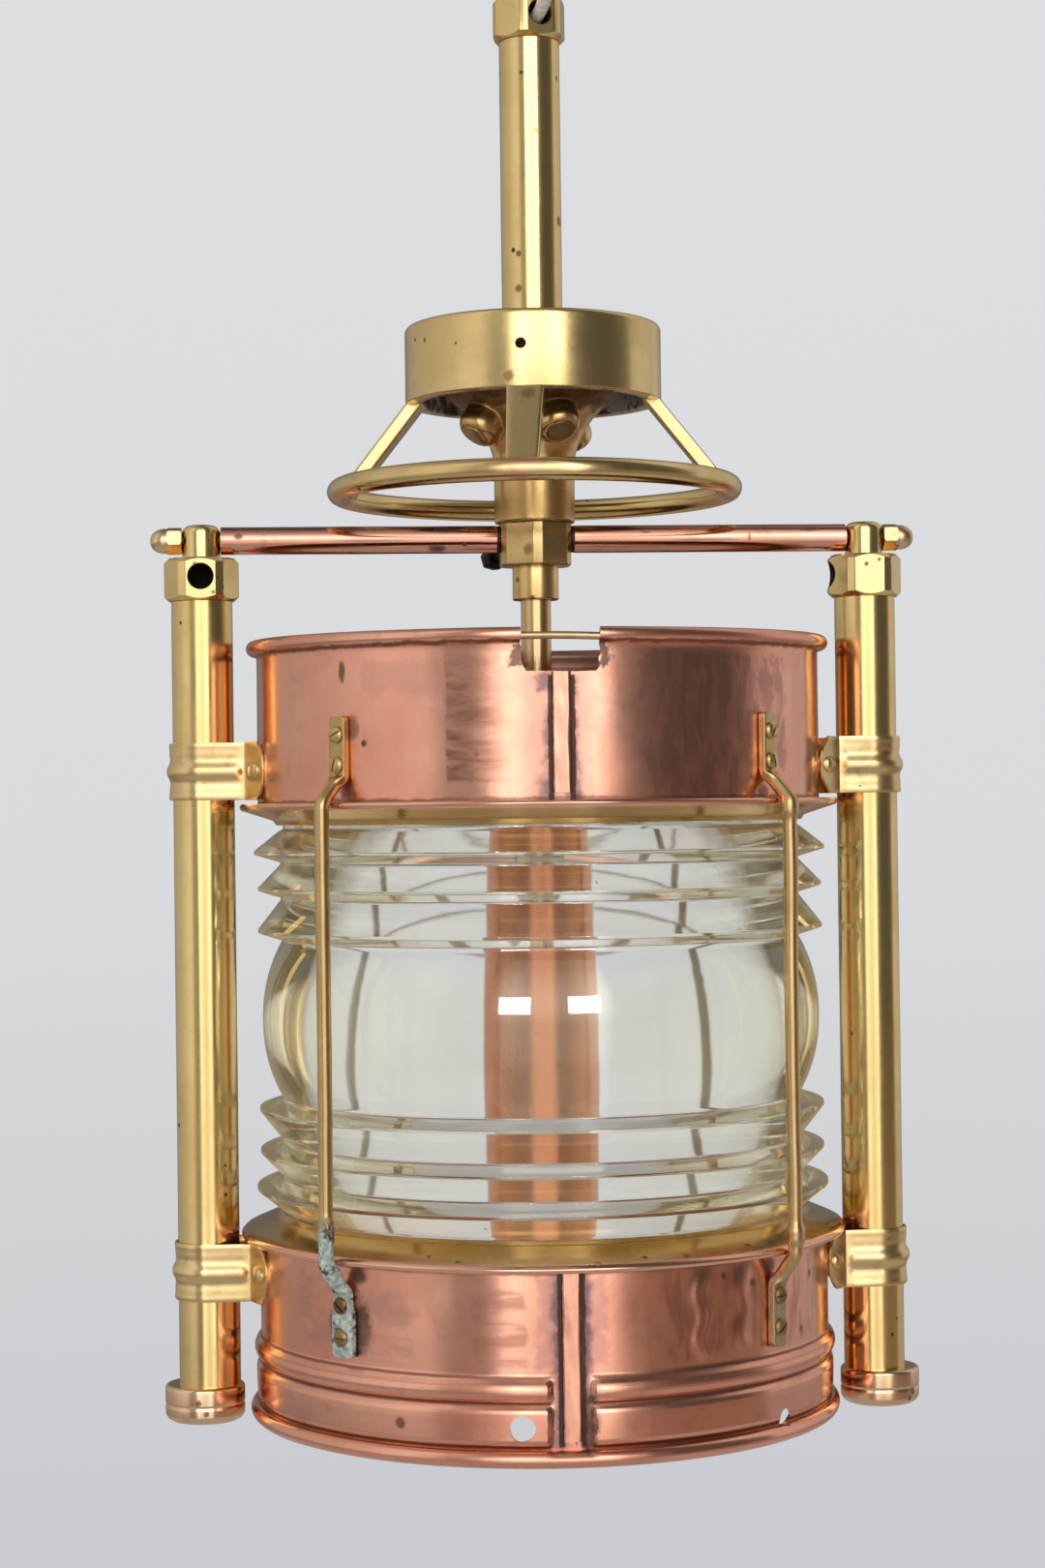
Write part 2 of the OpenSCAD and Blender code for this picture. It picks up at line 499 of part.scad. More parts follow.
module slotted(turn) {
    translate([0, 0, -4.5]) cylinder(r = 1.5, h = 7.6, $fn = 32);
    translate([0, 0, 3.05]) rotate([0, 0, turn]) difference() {
        rotate_extrude($fn = 48) polygon([[0, 0], [3, 0], [2.85, 0.6], [2.1, 1.25], [0, 1.5]]);
        translate([-4, -0.35, 0.75]) cube([8, 0.7, 2]);
    }
}
module guard_screws() color("gold") for (i = [0:3]) {
    for (k = [0, 1]) at(guard_az[i], drum_r, z_lens + up_scr[k]) slotted(25 + 50 * k + 31 * i);
    for (k = [0, 1]) at(guard_az[i], base_r, z_lens + low_scr[k]) slotted(140 + 35 * k + 43 * i);
}
module guard_nuts() color("goldenrod") for (i = [0:3]) {
    for (z = up_scr) at(guard_az[i], drum_r - sheet - 2.4, z_lens + z) difference() { cylinder(r = 3.2, h = 2.2, $fn = 6); translate([0, 0, -1]) cylinder(r = 1.5, h = 5, $fn = 32); }
    for (z = low_scr) at(guard_az[i], base_r - sheet - 2.4, z_lens + z) difference() { cylinder(r = 3.2, h = 2.2, $fn = 6); translate([0, 0, -1]) cylinder(r = 1.5, h = 5, $fn = 32); }
}

top_fitting();
stem_tube();
wheel_cup();
wheel_spokes();
wheel_ring();
hub_casting();
hub_plugs();
centre_hex();
ferrule();
clamp_bolt();
pivot_rod_left();
pivot_rod_right();
spacer_tube_left();
spacer_tube_right();
lock_washers();
acorn_nuts();
drop_tube();
lamp_sleeve();
sleeve_nut();
lamp_holder();
holder_shell();
bulb_cap();
bulb_glass();
inner_flex();
flex_tail();
terminal_block();
terminal_screws();
post_fitting_left();
post_fitting_right();
post_tube_left();
post_tube_right();
post_cap_left();
post_cap_right();
clip_upper_left();
clip_upper_right();
clip_lower_left();
clip_lower_right();
clip_rivets();
upper_drum();
upper_seam_strip();
hinge_wire();
upper_flange();
upper_gasket();
lens();
lower_gasket();
lower_flange();
lower_drum();
lower_seam_strip();
guard_front_left();
guard_front_right();
guard_rear_left();
guard_rear_right();
guard_screws();
guard_nuts();
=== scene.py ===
import bpy
import bmesh
import math
from math import sin, cos, tan, pi, radians, sqrt, atan2, asin, acos
import numpy as np
from mathutils import Vector, Matrix, noise


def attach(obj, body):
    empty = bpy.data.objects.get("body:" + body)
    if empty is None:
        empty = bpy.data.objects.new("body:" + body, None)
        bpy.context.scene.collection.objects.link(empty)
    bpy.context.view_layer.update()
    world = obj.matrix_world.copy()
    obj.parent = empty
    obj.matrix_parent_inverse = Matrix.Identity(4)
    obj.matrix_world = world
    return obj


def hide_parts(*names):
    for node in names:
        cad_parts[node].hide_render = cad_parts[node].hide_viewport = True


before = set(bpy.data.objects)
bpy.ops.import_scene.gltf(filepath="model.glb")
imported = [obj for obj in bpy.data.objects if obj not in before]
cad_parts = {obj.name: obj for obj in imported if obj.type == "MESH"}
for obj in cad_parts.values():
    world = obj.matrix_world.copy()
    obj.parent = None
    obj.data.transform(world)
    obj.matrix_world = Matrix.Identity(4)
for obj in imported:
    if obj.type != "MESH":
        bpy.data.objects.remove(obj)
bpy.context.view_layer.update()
scene = bpy.context.scene
MM = 0.001

# ------------------------------------------------------------------ heights (mm, as in the CAD)
Z_NECK = 5.6
Z_HEX = -6.5
Z_STEM = -21.9
Z_CUP = -125.9
Z_CUPB = -153.7
Z_RING = -185.4
Z_HUB = -197.45
Z_BAR = -202.95
Z_HEXB = -212.8
Z_FERR = -225.2
Z_LENS = -375.8
Z_SLEEVE = Z_LENS + 39.5
SLEEVE_H = 75.0
POST_X = 121.0
DRUM_R = 101.7
BASE_R = 102.5
GUARD_R = 112.0
WHEEL_TURN = -8.0
CUP_HOLE = -9.7
TOP_TURN = 16.0
Z_POST = Z_BAR + Z_STEM
Z_POSB = Z_LENS - 131.8
CLIP_UP = Z_LENS + 89.5
CLIP_LOW = Z_LENS - 89.5

# ------------------------------------------------------------------ camera
F_PX = 3057.0
CAM_D = 1.0766
CAM_AZ = radians(-4.21)
CAM_PITCH = radians(0.513)
CAM_ROLL = radians(0.704)
CAM_CX = -0.00565
CAM_Z = -0.3016
cam_data = bpy.data.cameras.new("camera")
cam_data.sensor_fit = "AUTO"
cam_data.sensor_width = 36.0
cam_data.lens = F_PX * 36.0 / 1620.0
cam_data.clip_end = 50
cam = bpy.data.objects.new("camera", cam_data)
scene.collection.objects.link(cam)
back = Vector((sin(CAM_AZ), -cos(CAM_AZ), 0))
right = Vector((cos(CAM_AZ), sin(CAM_AZ), 0))
fwd = -back * cos(CAM_PITCH) + Vector((0, 0, sin(CAM_PITCH)))
up = right.cross(fwd)
r2 = right * cos(CAM_ROLL) - up * sin(CAM_ROLL)
u2 = right * sin(CAM_ROLL) + up * cos(CAM_ROLL)
pos = back * CAM_D + right * CAM_CX + Vector((0, 0, CAM_Z))
cam.matrix_world = Matrix(((r2.x, u2.x, -fwd.x, pos.x), (r2.y, u2.y, -fwd.y, pos.y),
                           (r2.z, u2.z, -fwd.z, pos.z), (0, 0, 0, 1)))
scene.camera = cam
scene.view_settings.view_transform = "Standard"
scene.view_settings.look = "None"


# ------------------------------------------------------------------ shader helpers
class NT:
    """Short names for building a node tree."""

    def __init__(self, tree):
        self.t = tree
        self.n = tree.nodes
        self.l = tree.links

    def new(self, kind, **props):
        node = self.n.new(kind)
        for k, v in props.items():
            setattr(node, k, v)
        return node

    def put(self, sock, value):
        if isinstance(value, bpy.types.NodeSocket):
            self.l.new(value, sock)
        elif isinstance(value, (tuple, list)):
            v = list(value)
            if len(v) == 3 and sock.type == "RGBA":
                v = v + [1.0]
            sock.default_value = v
        else:
            sock.default_value = value

    def math(self, op, a, b=0.0, c=0.0, clamp=False):
        m = self.new("ShaderNodeMath", operation=op, use_clamp=clamp)
        for s, v in zip(m.inputs, (a, b, c)):
            self.put(s, v)
        return m.outputs[0]

    def vmath(self, op, a, b=(0, 0, 0)):
        m = self.new("ShaderNodeVectorMath", operation=op)
        self.put(m.inputs[0], a)
        self.put(m.inputs[1], b)
        return m.outputs["Value"] if op in ("LENGTH", "DISTANCE", "DOT_PRODUCT") else m.outputs[0]

    def combine(self, x, y, z):
        m = self.new("ShaderNodeCombineXYZ")
        for s, v in zip(m.inputs, (x, y, z)):
            self.put(s, v)
        return m.outputs[0]

    def sep(self, v):
        m = self.new("ShaderNodeSeparateXYZ")
        self.put(m.inputs[0], v)
        return m.outputs

    def noise(self, vec, scale, detail=3.0, rough=0.5, dist=0.0):
        m = self.new("ShaderNodeTexNoise")
        self.put(m.inputs["Vector"], vec)
        m.inputs["Scale"].default_value = scale
        m.inputs["Detail"].default_value = detail
        m.inputs["Roughness"].default_value = rough
        m.inputs["Distortion"].default_value = dist
        return m.outputs[0]

    def voronoi(self, vec, scale, feature="F1", rnd=1.0):
        m = self.new("ShaderNodeTexVoronoi", feature=feature)
        self.put(m.inputs["Vector"], vec)
        m.inputs["Scale"].default_value = scale
        m.inputs["Randomness"].default_value = rnd
        return m.outputs

    def ramp(self, fac, stops, interp="LINEAR"):
        m = self.new("ShaderNodeValToRGB")
        m.color_ramp.interpolation = interp
        els = m.color_ramp.elements
        while len(els) > 1:
            els.remove(els[-1])
        els[0].position = stops[0][0]
        c = stops[0][1]
        els[0].color = (c, c, c, 1) if not isinstance(c, (tuple, list)) else (*c, 1)
        for p, c in stops[1:]:
            e = els.new(p)
            e.color = (c, c, c, 1) if not isinstance(c, (tuple, list)) else (*c, 1)
        self.put(m.inputs[0], fac)
        return m.outputs[0]

    def step(self, v, a, b, lo=0.0, hi=1.0):
        """Smooth ramp of v from a to b onto lo..hi."""
        m = self.new("ShaderNodeMapRange", interpolation_type="SMOOTHSTEP", clamp=True)
        for s, x in zip(m.inputs, (v, a, b, lo, hi)):
            self.put(s, x)
        return m.outputs[0]

    def mix(self, fac, a, b, mode="MIX"):
        m = self.new("ShaderNodeMix", data_type="RGBA", blend_type=mode)
        self.put(m.inputs[0], fac)
        self.put(m.inputs[6], a)
        self.put(m.inputs[7], b)
        return m.outputs[2]

    def fmix(self, fac, a, b):
        m = self.new("ShaderNodeMix", data_type="FLOAT")
        self.put(m.inputs[0], fac)
        self.put(m.inputs[2], a)
        self.put(m.inputs[3], b)
        return m.outputs[0]

    def bump(self, height, strength=0.2, distance=0.001, normal=None):
        m = self.new("ShaderNodeBump")
        m.inputs["Strength"].default_value = strength
        m.inputs["Distance"].default_value = distance
        self.put(m.inputs["Height"], height)
        if normal is not None:
            self.put(m.inputs["Normal"], normal)
        return m.outputs[0]


def material(name):
    m = bpy.data.materials.new(name)
    m.use_nodes = True
    nt = NT(m.node_tree)
    bsdf = m.node_tree.nodes["Principled BSDF"]
    return m, nt, bsdf


def obj_coord(nt):
    return nt.new("ShaderNodeTexCoord").outputs["Object"]


def stretch(nt, co, x, y, z):
    """The coordinate multiplied per axis."""
    return nt.vmath("MULTIPLY", co, (x, y, z))


def turned(nt, co, cx=0.0, cy=0.0, zs=1.0, around=0.08):
    """Coordinates of a lathe-turned surface: (angle, height, radius), so noise streaks run round it."""
    s = nt.sep(nt.vmath("SUBTRACT", co, (cx, cy, 0.0)))
    ang = nt.math("ARCTAN2", s[0], s[1])
    return nt.combine(nt.math("MULTIPLY", ang, around), nt.math("MULTIPLY", s[2], zs), 0.0)


def spot(nt, co, centre, radius, soft=0.5, wobble=0.35, seed=0.0, flat=(1, 1, 1)):
    """1 inside a ragged blob round a point of the object, 0 outside."""
    d = nt.vmath("SUBTRACT", co, centre)
    d = nt.vmath("MULTIPLY", d, tuple(1.0 / f for f in flat))
    dist = nt.vmath("LENGTH", d)
    n = nt.noise(nt.vmath("ADD", co, (seed, seed * 0.7, 0)), 2.2 / radius if radius < 0.02 else 110.0, 4, 0.6)
    r = nt.math("ADD", nt.math("MULTIPLY", nt.math("SUBTRACT", n, 0.5), -2 * wobble * radius), dist)
    return nt.step(r, radius * (1 - soft), radius * (1 + soft * 0.4), 1.0, 0.0)


def union(nt, parts):
    out = parts[0]
    for p in parts[1:]:
        out = nt.math("MAXIMUM", out, p)
    return out


def cyl(az, r, z):
    """A point on a surface of radius r (mm) at azimuth az (degrees, 0 = -Y, + towards +X)."""
    a = radians(az)
    return (r * sin(a) * MM, -r * cos(a) * MM, z * MM)


# ------------------------------------------------------------------ materials
BRASS = (0.85, 0.63, 0.275)
BRASS_DARK = (0.40, 0.25, 0.10)
BRASS_CAST = (0.84, 0.625, 0.285)
COPPER = (0.94, 0.47, 0.325)
COPPER_BROWN = (0.42, 0.20, 0.13)


def brass(name, base=BRASS, rough=0.16, stain=0.35, pits=1.0, axis=None, spots=(), cast=False, copper_edge=None,
          lines=0.5, dull=0.0):
    m, nt, b = material(name)
    co = obj_coord(nt)
    cloud = nt.noise(co, 38, 4, 0.55)
    fine = nt.noise(co, 260, 3, 0.6)
    mott = nt.noise(co, 120, 5, 0.62, 0.6)
    col = nt.mix(nt.step(cloud, 0.38, 0.66), base, tuple(c * k for c, k in zip(base, (0.93, 0.90, 0.84))))
    col = nt.mix(nt.math("MULTIPLY", nt.step(mott, 0.50, 0.78), stain), col, (0.50, 0.33, 0.15))
    # small dark pits
    v = nt.voronoi(co, 150.0)
    pit = nt.step(v[0], 0.10, 0.16, 1.0, 0.0)
    pick = nt.step(nt.noise(nt.vmath("ADD", co, (3.1, 1.7, 0.4)), 90, 2, 0.5), 0.60, 0.66)
    pit = nt.math("MULTIPLY", nt.math("MULTIPLY", pit, pick), pits, clamp=True)
    col = nt.mix(pit, col, (0.13, 0.075, 0.035))
    marks = [spot(nt, co, c, r, 0.5, 0.4, i * 0.37) for i, (c, r, k) in enumerate(spots)]
    dark = None
    if marks:
        ks = [nt.math("MULTIPLY", s, k) for s, (_, _, k) in zip(marks, spots)]
        dark = union(nt, ks)
        col = nt.mix(dark, col, (0.20, 0.115, 0.05))
    r = nt.fmix(nt.step(cloud, 0.35, 0.7), rough, rough + 0.10)
    r = nt.math("ADD", r, nt.math("MULTIPLY", nt.math("SUBTRACT", fine, 0.5), 0.10))
    r = nt.math("ADD", r, nt.math("MULTIPLY", pit, 0.35))
    if dark is not None:
        r = nt.math("ADD", r, nt.math("MULTIPLY", dark, 0.30))
    r = nt.math("MAXIMUM", r, 0.06)
    nt.put(b.inputs["Base Color"], col)
    nt.put(b.inputs["Roughness"], r)
    b.inputs["Metallic"].default_value = 1.0
    h = nt.math("MULTIPLY", pit, -0.6)
    if axis is not None:
        st = turned(nt, co, axis[0], axis[1])
        ln = nt.noise(nt.vmath("MULTIPLY", st, (1.0, 1.0, 1.0)), 900, 2, 0.7)
        h = nt.math("ADD", h, nt.math("MULTIPLY", ln, 0.10 * lines))
    h = nt.math("ADD", h, nt.math("MULTIPLY", nt.noise(co, 75, 2, 0.5), 0.35 if not cast else 1.1))
    h = nt.math("ADD", h, nt.math("MULTIPLY", fine, 0.05 if not cast else 0.16))
    nt.put(b.inputs["Normal"], nt.bump(h, 0.20, 0.0006))
    return m


def copper(name, base=COPPER, rough=0.20, brown=0.5, spots=(), bands=(), axis=(0, 0), inner=False, extra=None):
    m, nt, b = material(name)
    co = obj_coord(nt)
    s = nt.sep(nt.vmath("SUBTRACT", co, (axis[0], axis[1], 0.0)))
    ang = nt.math("ARCTAN2", s[0], nt.math("MULTIPLY", s[1], -1.0))
    cloud = nt.noise(co, 22, 4, 0.55, 0.3)
    mott = nt.noise(co, 70, 5, 0.6, 0.8)
    st = nt.combine(nt.math("MULTIPLY", ang, 0.10), nt.math("MULTIPLY", s[2], 0.22), 0.0)
    vert = nt.noise(nt.combine(nt.math("MULTIPLY", ang, 0.10), nt.math("MULTIPLY", s[2], 0.012), 0.0), 420, 4, 0.62)
    fine = nt.noise(co, 300, 3, 0.6)
    col = nt.mix(nt.step(cloud, 0.35, 0.70), base, tuple(c * k for c, k in zip(base, (0.90, 0.80, 0.78))))
    col = nt.mix(nt.math("MULTIPLY", nt.step(mott, 0.52, 0.80), brown), col, COPPER_BROWN)
    col = nt.mix(nt.math("MULTIPLY", nt.step(vert, 0.52, 0.74), 0.20 * brown * 2), col, (0.55, 0.30, 0.22))
    dark = []
    for i, (az, width, z0, z1, k, tone) in enumerate(bands):
        # a patina patch in azimuth and height, with ragged edges
        wob = nt.math("MULTIPLY", nt.math("SUBTRACT", nt.noise(nt.vmath("ADD", co, (0.3 * i, 0, 0)), 60, 4, 0.65), 0.5), 0.20)
        da = nt.math("ABSOLUTE", nt.math("SUBTRACT", nt.math("ADD", ang, wob), radians(az)))
        fa = nt.step(da, radians(width) * 0.45, radians(width) * 1.15, 1.0, 0.0)
        wz = nt.math("MULTIPLY", nt.math("SUBTRACT", nt.noise(nt.vmath("ADD", co, (0, 0.4 * i, 0.2)), 45, 4, 0.6), 0.5), 0.03)
        zz = nt.math("ADD", s[2], wz)
        fz = nt.math("MULTIPLY", nt.step(zz, (z0 - 4) * MM, (z0 + 3) * MM), nt.step(zz, (z1 - 3) * MM, (z1 + 4) * MM, 1.0, 0.0))
        f = nt.math("MULTIPLY", nt.math("MULTIPLY", fa, fz), k)
        f = nt.math("MULTIPLY", f, nt.step(vert, 0.25, 0.60, 0.55, 1.0))
        col = nt.mix(f, col, tone)
        dark.append(f)
    marks = [nt.math("MULTIPLY", spot(nt, co, c, r, 0.5, 0.4, i * 0.37, fl), k) for i, (c, r, k, fl) in enumerate(spots)]
    d = union(nt, marks) if marks else None
    if d is not None:
        col = nt.mix(d, col, (0.17, 0.085, 0.07))
    r = nt.fmix(nt.step(cloud, 0.35, 0.7), rough, rough + 0.10)
    r = nt.math("ADD", r, nt.math("MULTIPLY", nt.math("SUBTRACT", fine, 0.5), 0.08))
    for f in dark:
        r = nt.math("ADD", r, nt.math("MULTIPLY", f, 0.10))
    if d is not None:
        r = nt.math("ADD", r, nt.math("MULTIPLY", d, 0.30))
    r = nt.math("MAXIMUM", r, 0.06)
    if extra is not None:
        col, r = extra(nt, co, ang, s[2], col, r)
    nt.put(b.inputs["Base Color"], col)
    nt.put(b.inputs["Roughness"], r)
    b.inputs["Metallic"].default_value = 1.0
    h = nt.math("MULTIPLY", nt.noise(co, 60, 2, 0.5), 0.6)
    h = nt.math("ADD", h, nt.math("MULTIPLY", nt.noise(st, 1500, 2, 0.7), 0.05))
    h = nt.math("ADD", h, nt.math("MULTIPLY", fine, 0.06))
    nt.put(b.inputs["Normal"], nt.bump(h, 0.22, 0.0006))
    return m


def plain(name, colour, rough=0.4, metallic=0.0, var=0.12, scale=120, bumpy=0.1, coat=0.0, alpha=None):
    m, nt, b = material(name)
    co = obj_coord(nt)
    n = nt.noise(co, scale, 4, 0.6)
    col = nt.mix(nt.step(n, 0.35, 0.7), colour, tuple(c * (1 - var) for c in colour))
    nt.put(b.inputs["Base Color"], col)
    nt.put(b.inputs["Roughness"], nt.fmix(n, max(0.03, rough - 0.06), rough + 0.08))
    b.inputs["Metallic"].default_value = metallic
    b.inputs["Coat Weight"].default_value = coat
    nt.put(b.inputs["Normal"], nt.bump(nt.noise(co, scale * 3, 3, 0.6), bumpy, 0.0004))
    return m


def glass(name, tint=(0.975, 0.985, 0.93), ior=1.5, absorb=(0.80, 0.86, 0.42), density=9.0, rough=0.0):
    m, nt, b = material(name)
    co = obj_coord(nt)
    # old cast glass: clear where one looks straight in, hazier at a slant
    lw = nt.new("ShaderNodeLayerWeight")
    lw.inputs["Blend"].default_value = 0.5
    b.inputs["Base Color"].default_value = (*tint, 1)
    nt.put(b.inputs["Transmission Weight"], nt.step(lw.outputs["Facing"], 0.30, 0.90, 0.985, 0.93))
    b.inputs["Coat Weight"].default_value = 0.7
    b.inputs["Coat Roughness"].default_value = 0.0
    b.inputs["Specular Tint"].default_value = (0.97, 0.86, 0.56, 1)
    # a thin yellow film of old dust, seen only at a slant
    b.inputs["Sheen Weight"].default_value = 0.62
    b.inputs["Sheen Roughness"].default_value = 0.40
    b.inputs["Sheen Tint"].default_value = (0.92, 0.71, 0.31, 1)
    b.inputs["IOR"].default_value = ior
    b.inputs["Metallic"].default_value = 0.0
    st = turned(nt, co, 0, 0, 1.0, 0.10)
    wave = nt.noise(nt.vmath("MULTIPLY", st, (0.35, 1.0, 1.0)), 55, 3, 0.5)
    seeds = nt.voronoi(co, 95.0)
    seed = nt.math("MULTIPLY", nt.step(seeds[0], 0.05, 0.09, 1.0, 0.0),
                   nt.step(nt.noise(nt.vmath("ADD", co, (1.3, 0.2, 2.2)), 60, 2, 0.5), 0.62, 0.66))
    h = nt.math("ADD", nt.math("MULTIPLY", wave, 1.0), nt.math("MULTIPLY", seed, 0.9))
    nt.put(b.inputs["Normal"], nt.bump(h, 0.12, 0.0007))
    nt.put(b.inputs["Roughness"], nt.math("ADD", rough, nt.math("MULTIPLY", seed, 0.25)))
    vol = nt.new("ShaderNodeVolumeAbsorption")
    vol.inputs["Color"].default_value = (*absorb, 1)
    vol.inputs["Density"].default_value = density
    nt.l.new(vol.outputs[0], m.node_tree.nodes["Material Output"].inputs["Volume"])
    return m


# ------------------------------------------------------------------ mesh helpers (mm in, metres out)
def finish_mesh(name, verts, faces, mat, slot, body, sharp=35, merge=True):
    me = bpy.data.meshes.new(name)
    bm = bmesh.new()
    vs = [bm.verts.new((v[0] * MM, v[1] * MM, v[2] * MM)) for v in verts]
    for f in faces:
        ids = []
        for i in f:
            if i not in ids:
                ids.append(i)
        if len(ids) > 2:
            try:
                bm.faces.new([vs[i] for i in ids])
            except ValueError:
                pass
    if merge:
        bmesh.ops.remove_doubles(bm, verts=bm.verts, dist=1e-6)
    bmesh.ops.dissolve_degenerate(bm, dist=1e-7, edges=bm.edges)
    bmesh.ops.recalc_face_normals(bm, faces=bm.faces)
    bm.to_mesh(me)
    bm.free()
    return add_mesh(name, me, mat, body, sharp)


def smooth(me, sharp=35):
    me.polygons.foreach_set("use_smooth", [True] * len(me.polygons))
    me.set_sharp_from_angle(angle=radians(sharp))


def add_mesh(name, me, mat, body, sharp=35):
    o = bpy.data.objects.new(name, me)
    scene.collection.objects.link(o)
    me.materials.clear()
    me.materials.append(mat)
    smooth(me, sharp)
    if body is not None:
        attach(o, body)
    return o


def rounded(pts, closed=True, n=5):
    """A polygon or polyline with its corners rounded: each point is (x, y) or (x, y, radius)."""
    out = []
    m = len(pts)
    for i in range(m):
        p = Vector(pts[i][:2])
        r = pts[i][2] if len(pts[i]) > 2 else 0.0
        if r <= 0 or (not closed and i in (0, m - 1)):
            out.append((p.x, p.y))
            continue
        a = Vector(pts[(i - 1) % m][:2]) - p
        b = Vector(pts[(i + 1) % m][:2]) - p
        la, lb = a.length, b.length
        a.normalize()
        b.normalize()
        c = max(-1, min(1, a.dot(b)))
        th = acos(c)
        if th > pi - 1e-3 or th < 1e-3:
            out.append((p.x, p.y))
            continue
        d = r / tan(th / 2)
        d = min(d, la * 0.48, lb * 0.48)
        rr = d * tan(th / 2)
        bis = (a + b).normalized()
        cen = p + bis * (rr / sin(th / 2))
        t0 = p + a * d - cen
        t1 = p + b * d - cen
        a0 = atan2(t0.y, t0.x)
        a1 = atan2(t1.y, t1.x)
        da = (a1 - a0 + pi) % (2 * pi) - pi
        k = max(2, int(n * abs(da) / (pi / 2) + 1.5))
        for j in range(k + 1):
            t = a0 + da * j / k
            out.append((cen.x + rr * cos(t), cen.y + rr * sin(t)))
    return out


def lathe_data(prof, seg=192, cx=0.0, cy=0.0, closed=True, wob=None, phase=0.0):
    """Revolves (radius, z) points round a vertical axis."""
    verts, faces = [], []
    n = len(prof)
    for i in range(seg):
        a = 2 * pi * i / seg + phase
        ca, sa = cos(a), sin(a)
        for r, z in prof:
            rr, zz = r, z
            if wob is not None:
                dr, dz = wob(ca, sa, r, z)
                rr += dr
                zz += dz
            verts.append((cx + rr * ca, cy + rr * sa, zz))
    for i in range(seg):
        j = (i + 1) % seg
        for k in range(n if closed else n - 1):
            k2 = (k + 1) % n
            faces.append((i * n + k, j * n + k, j * n + k2, i * n + k2))
    return verts, faces


def lathe(name, prof, mat, slot, body, seg=192, cx=0.0, cy=0.0, closed=True, sharp=35, wob=None):
    v, f = lathe_data(prof, seg, cx, cy, closed, wob)
    return finish_mesh(name, v, f, mat, slot, body, sharp)


def place(verts, m):
    return [tuple(m @ Vector(v)) for v in verts]


def m_at(az, r, z):
    """Frame at azimuth az, radius r, height z (mm): local z outwards, local y up."""
    return Matrix.Rotation(radians(az), 4, "Z") @ Matrix.Translation((0, -r, z)) @ Matrix.Rotation(radians(90), 4, "X")


def prism_data(poly, z0, z1):
    n = len(poly)
    v = [(x, y, z0) for x, y in poly] + [(x, y, z1) for x, y in poly]
    f = [tuple(range(n - 1, -1, -1)), tuple(range(n, 2 * n))]
    f += [(i, (i + 1) % n, n + (i + 1) % n, n + i) for i in range(n)]
    return v, f


def circle_poly(r, n=48, rot=0.0):
    return [(r * cos(2 * pi * i / n + rot), r * sin(2 * pi * i / n + rot)) for i in range(n)]


def bevel_mesh(o, width, segments=2, angle=30):
    """Bevels the sharp edges of an object's mesh in place."""
    bm = bmesh.new()
    bm.from_mesh(o.data)
    edges = [e for e in bm.edges if len(e.link_faces) == 2 and e.calc_face_angle(0) > radians(angle)]
    bmesh.ops.bevel(bm, geom=edges, offset=width * MM, segments=segments, profile=0.5, affect="EDGES", clamp_overlap=True)
    bm.to_mesh(o.data)
    bm.free()
    smooth(o.data, 40)
    return o


def tool(verts, faces):
    """A helper solid for boolean work, not part of the object."""
    me = bpy.data.meshes.new("tool")
    bm = bmesh.new()
    vs = [bm.verts.new((v[0] * MM, v[1] * MM, v[2] * MM)) for v in verts]
    for f in faces:
        try:
            bm.faces.new([vs[i] for i in f])
        except ValueError:
            pass
    bmesh.ops.remove_doubles(bm, verts=bm.verts, dist=1e-6)
    bmesh.ops.recalc_face_normals(bm, faces=bm.faces)
    bm.to_mesh(me)
    bm.free()
    o = bpy.data.objects.new("tool", me)
    scene.collection.objects.link(o)
    return o


def boolean(o, others, op="DIFFERENCE", sharp=35):
    mats = [m for m in o.data.materials]
    for t in others:
        md = o.modifiers.new("b", "BOOLEAN")
        md.operation = op
        md.object = t
        md.solver = "EXACT"
        bpy.context.view_layer.update()
        dg = bpy.context.evaluated_depsgraph_get()
        me = bpy.data.meshes.new_from_object(o.evaluated_get(dg))
        o.modifiers.clear()
        old = o.data
        o.data = me
        me.name = o.name
        bpy.data.meshes.remove(old)
    for t in others:
        me = t.data
        bpy.data.objects.remove(t)
        bpy.data.meshes.remove(me)
    o.data.materials.clear()
    for m in mats:
        o.data.materials.append(m)
    o.data.polygons.foreach_set("material_index", [0] * len(o.data.polygons))
    smooth(o.data, sharp)
    return o


def join_data(parts):
    v, f = [], []
    for pv, pf in parts:
        k = len(v)
        v += list(pv)
        f += [tuple(i + k for i in q) for q in pf]
    return v, f


def sweep_data(path, us, section, ws=None):
    """Sweeps a section along path. us: the section's x direction at each point; the y direction is tangent x u."""
    n = len(path)
    P = [Vector(p) for p in path]
    verts = []
    k = None
    for i in range(n):
        t = (P[min(n - 1, i + 1)] - P[max(0, i - 1)]).normalized()
        u = Vector(us[i]).normalized()
        u = (u - t * u.dot(t)).normalized()
        w = t.cross(u)
        sec = section(i)
        k = len(sec)
        verts += [tuple(P[i] + u * a + w * b) for a, b in sec]
    faces = []
    for i in range(n - 1):
        for j in range(k):
            j2 = (j + 1) % k
            faces.append((i * k + j, i * k + j2, (i + 1) * k + j2, (i + 1) * k + j))
    faces.append(tuple(range(k - 1, -1, -1)))
    faces.append(tuple((n - 1) * k + j for j in range(k)))
    return verts, faces


def superellipse(w, t, p, n=28):
    out = []
    for i in range(n):
        a = 2 * pi * (i + 0.5) / n
        c, s = cos(a), sin(a)
        out.append((w / 2 * math.copysign(abs(c) ** (2 / p), c), t / 2 * math.copysign(abs(s) ** (2 / p), s)))
    return out


def give(node, mat, sharp=35):
    """A CAD node that stays gets its material and smooth shading."""
    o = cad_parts[node]
    o.data.materials.clear()
    o.data.materials.append(mat)
    smooth(o.data, sharp)


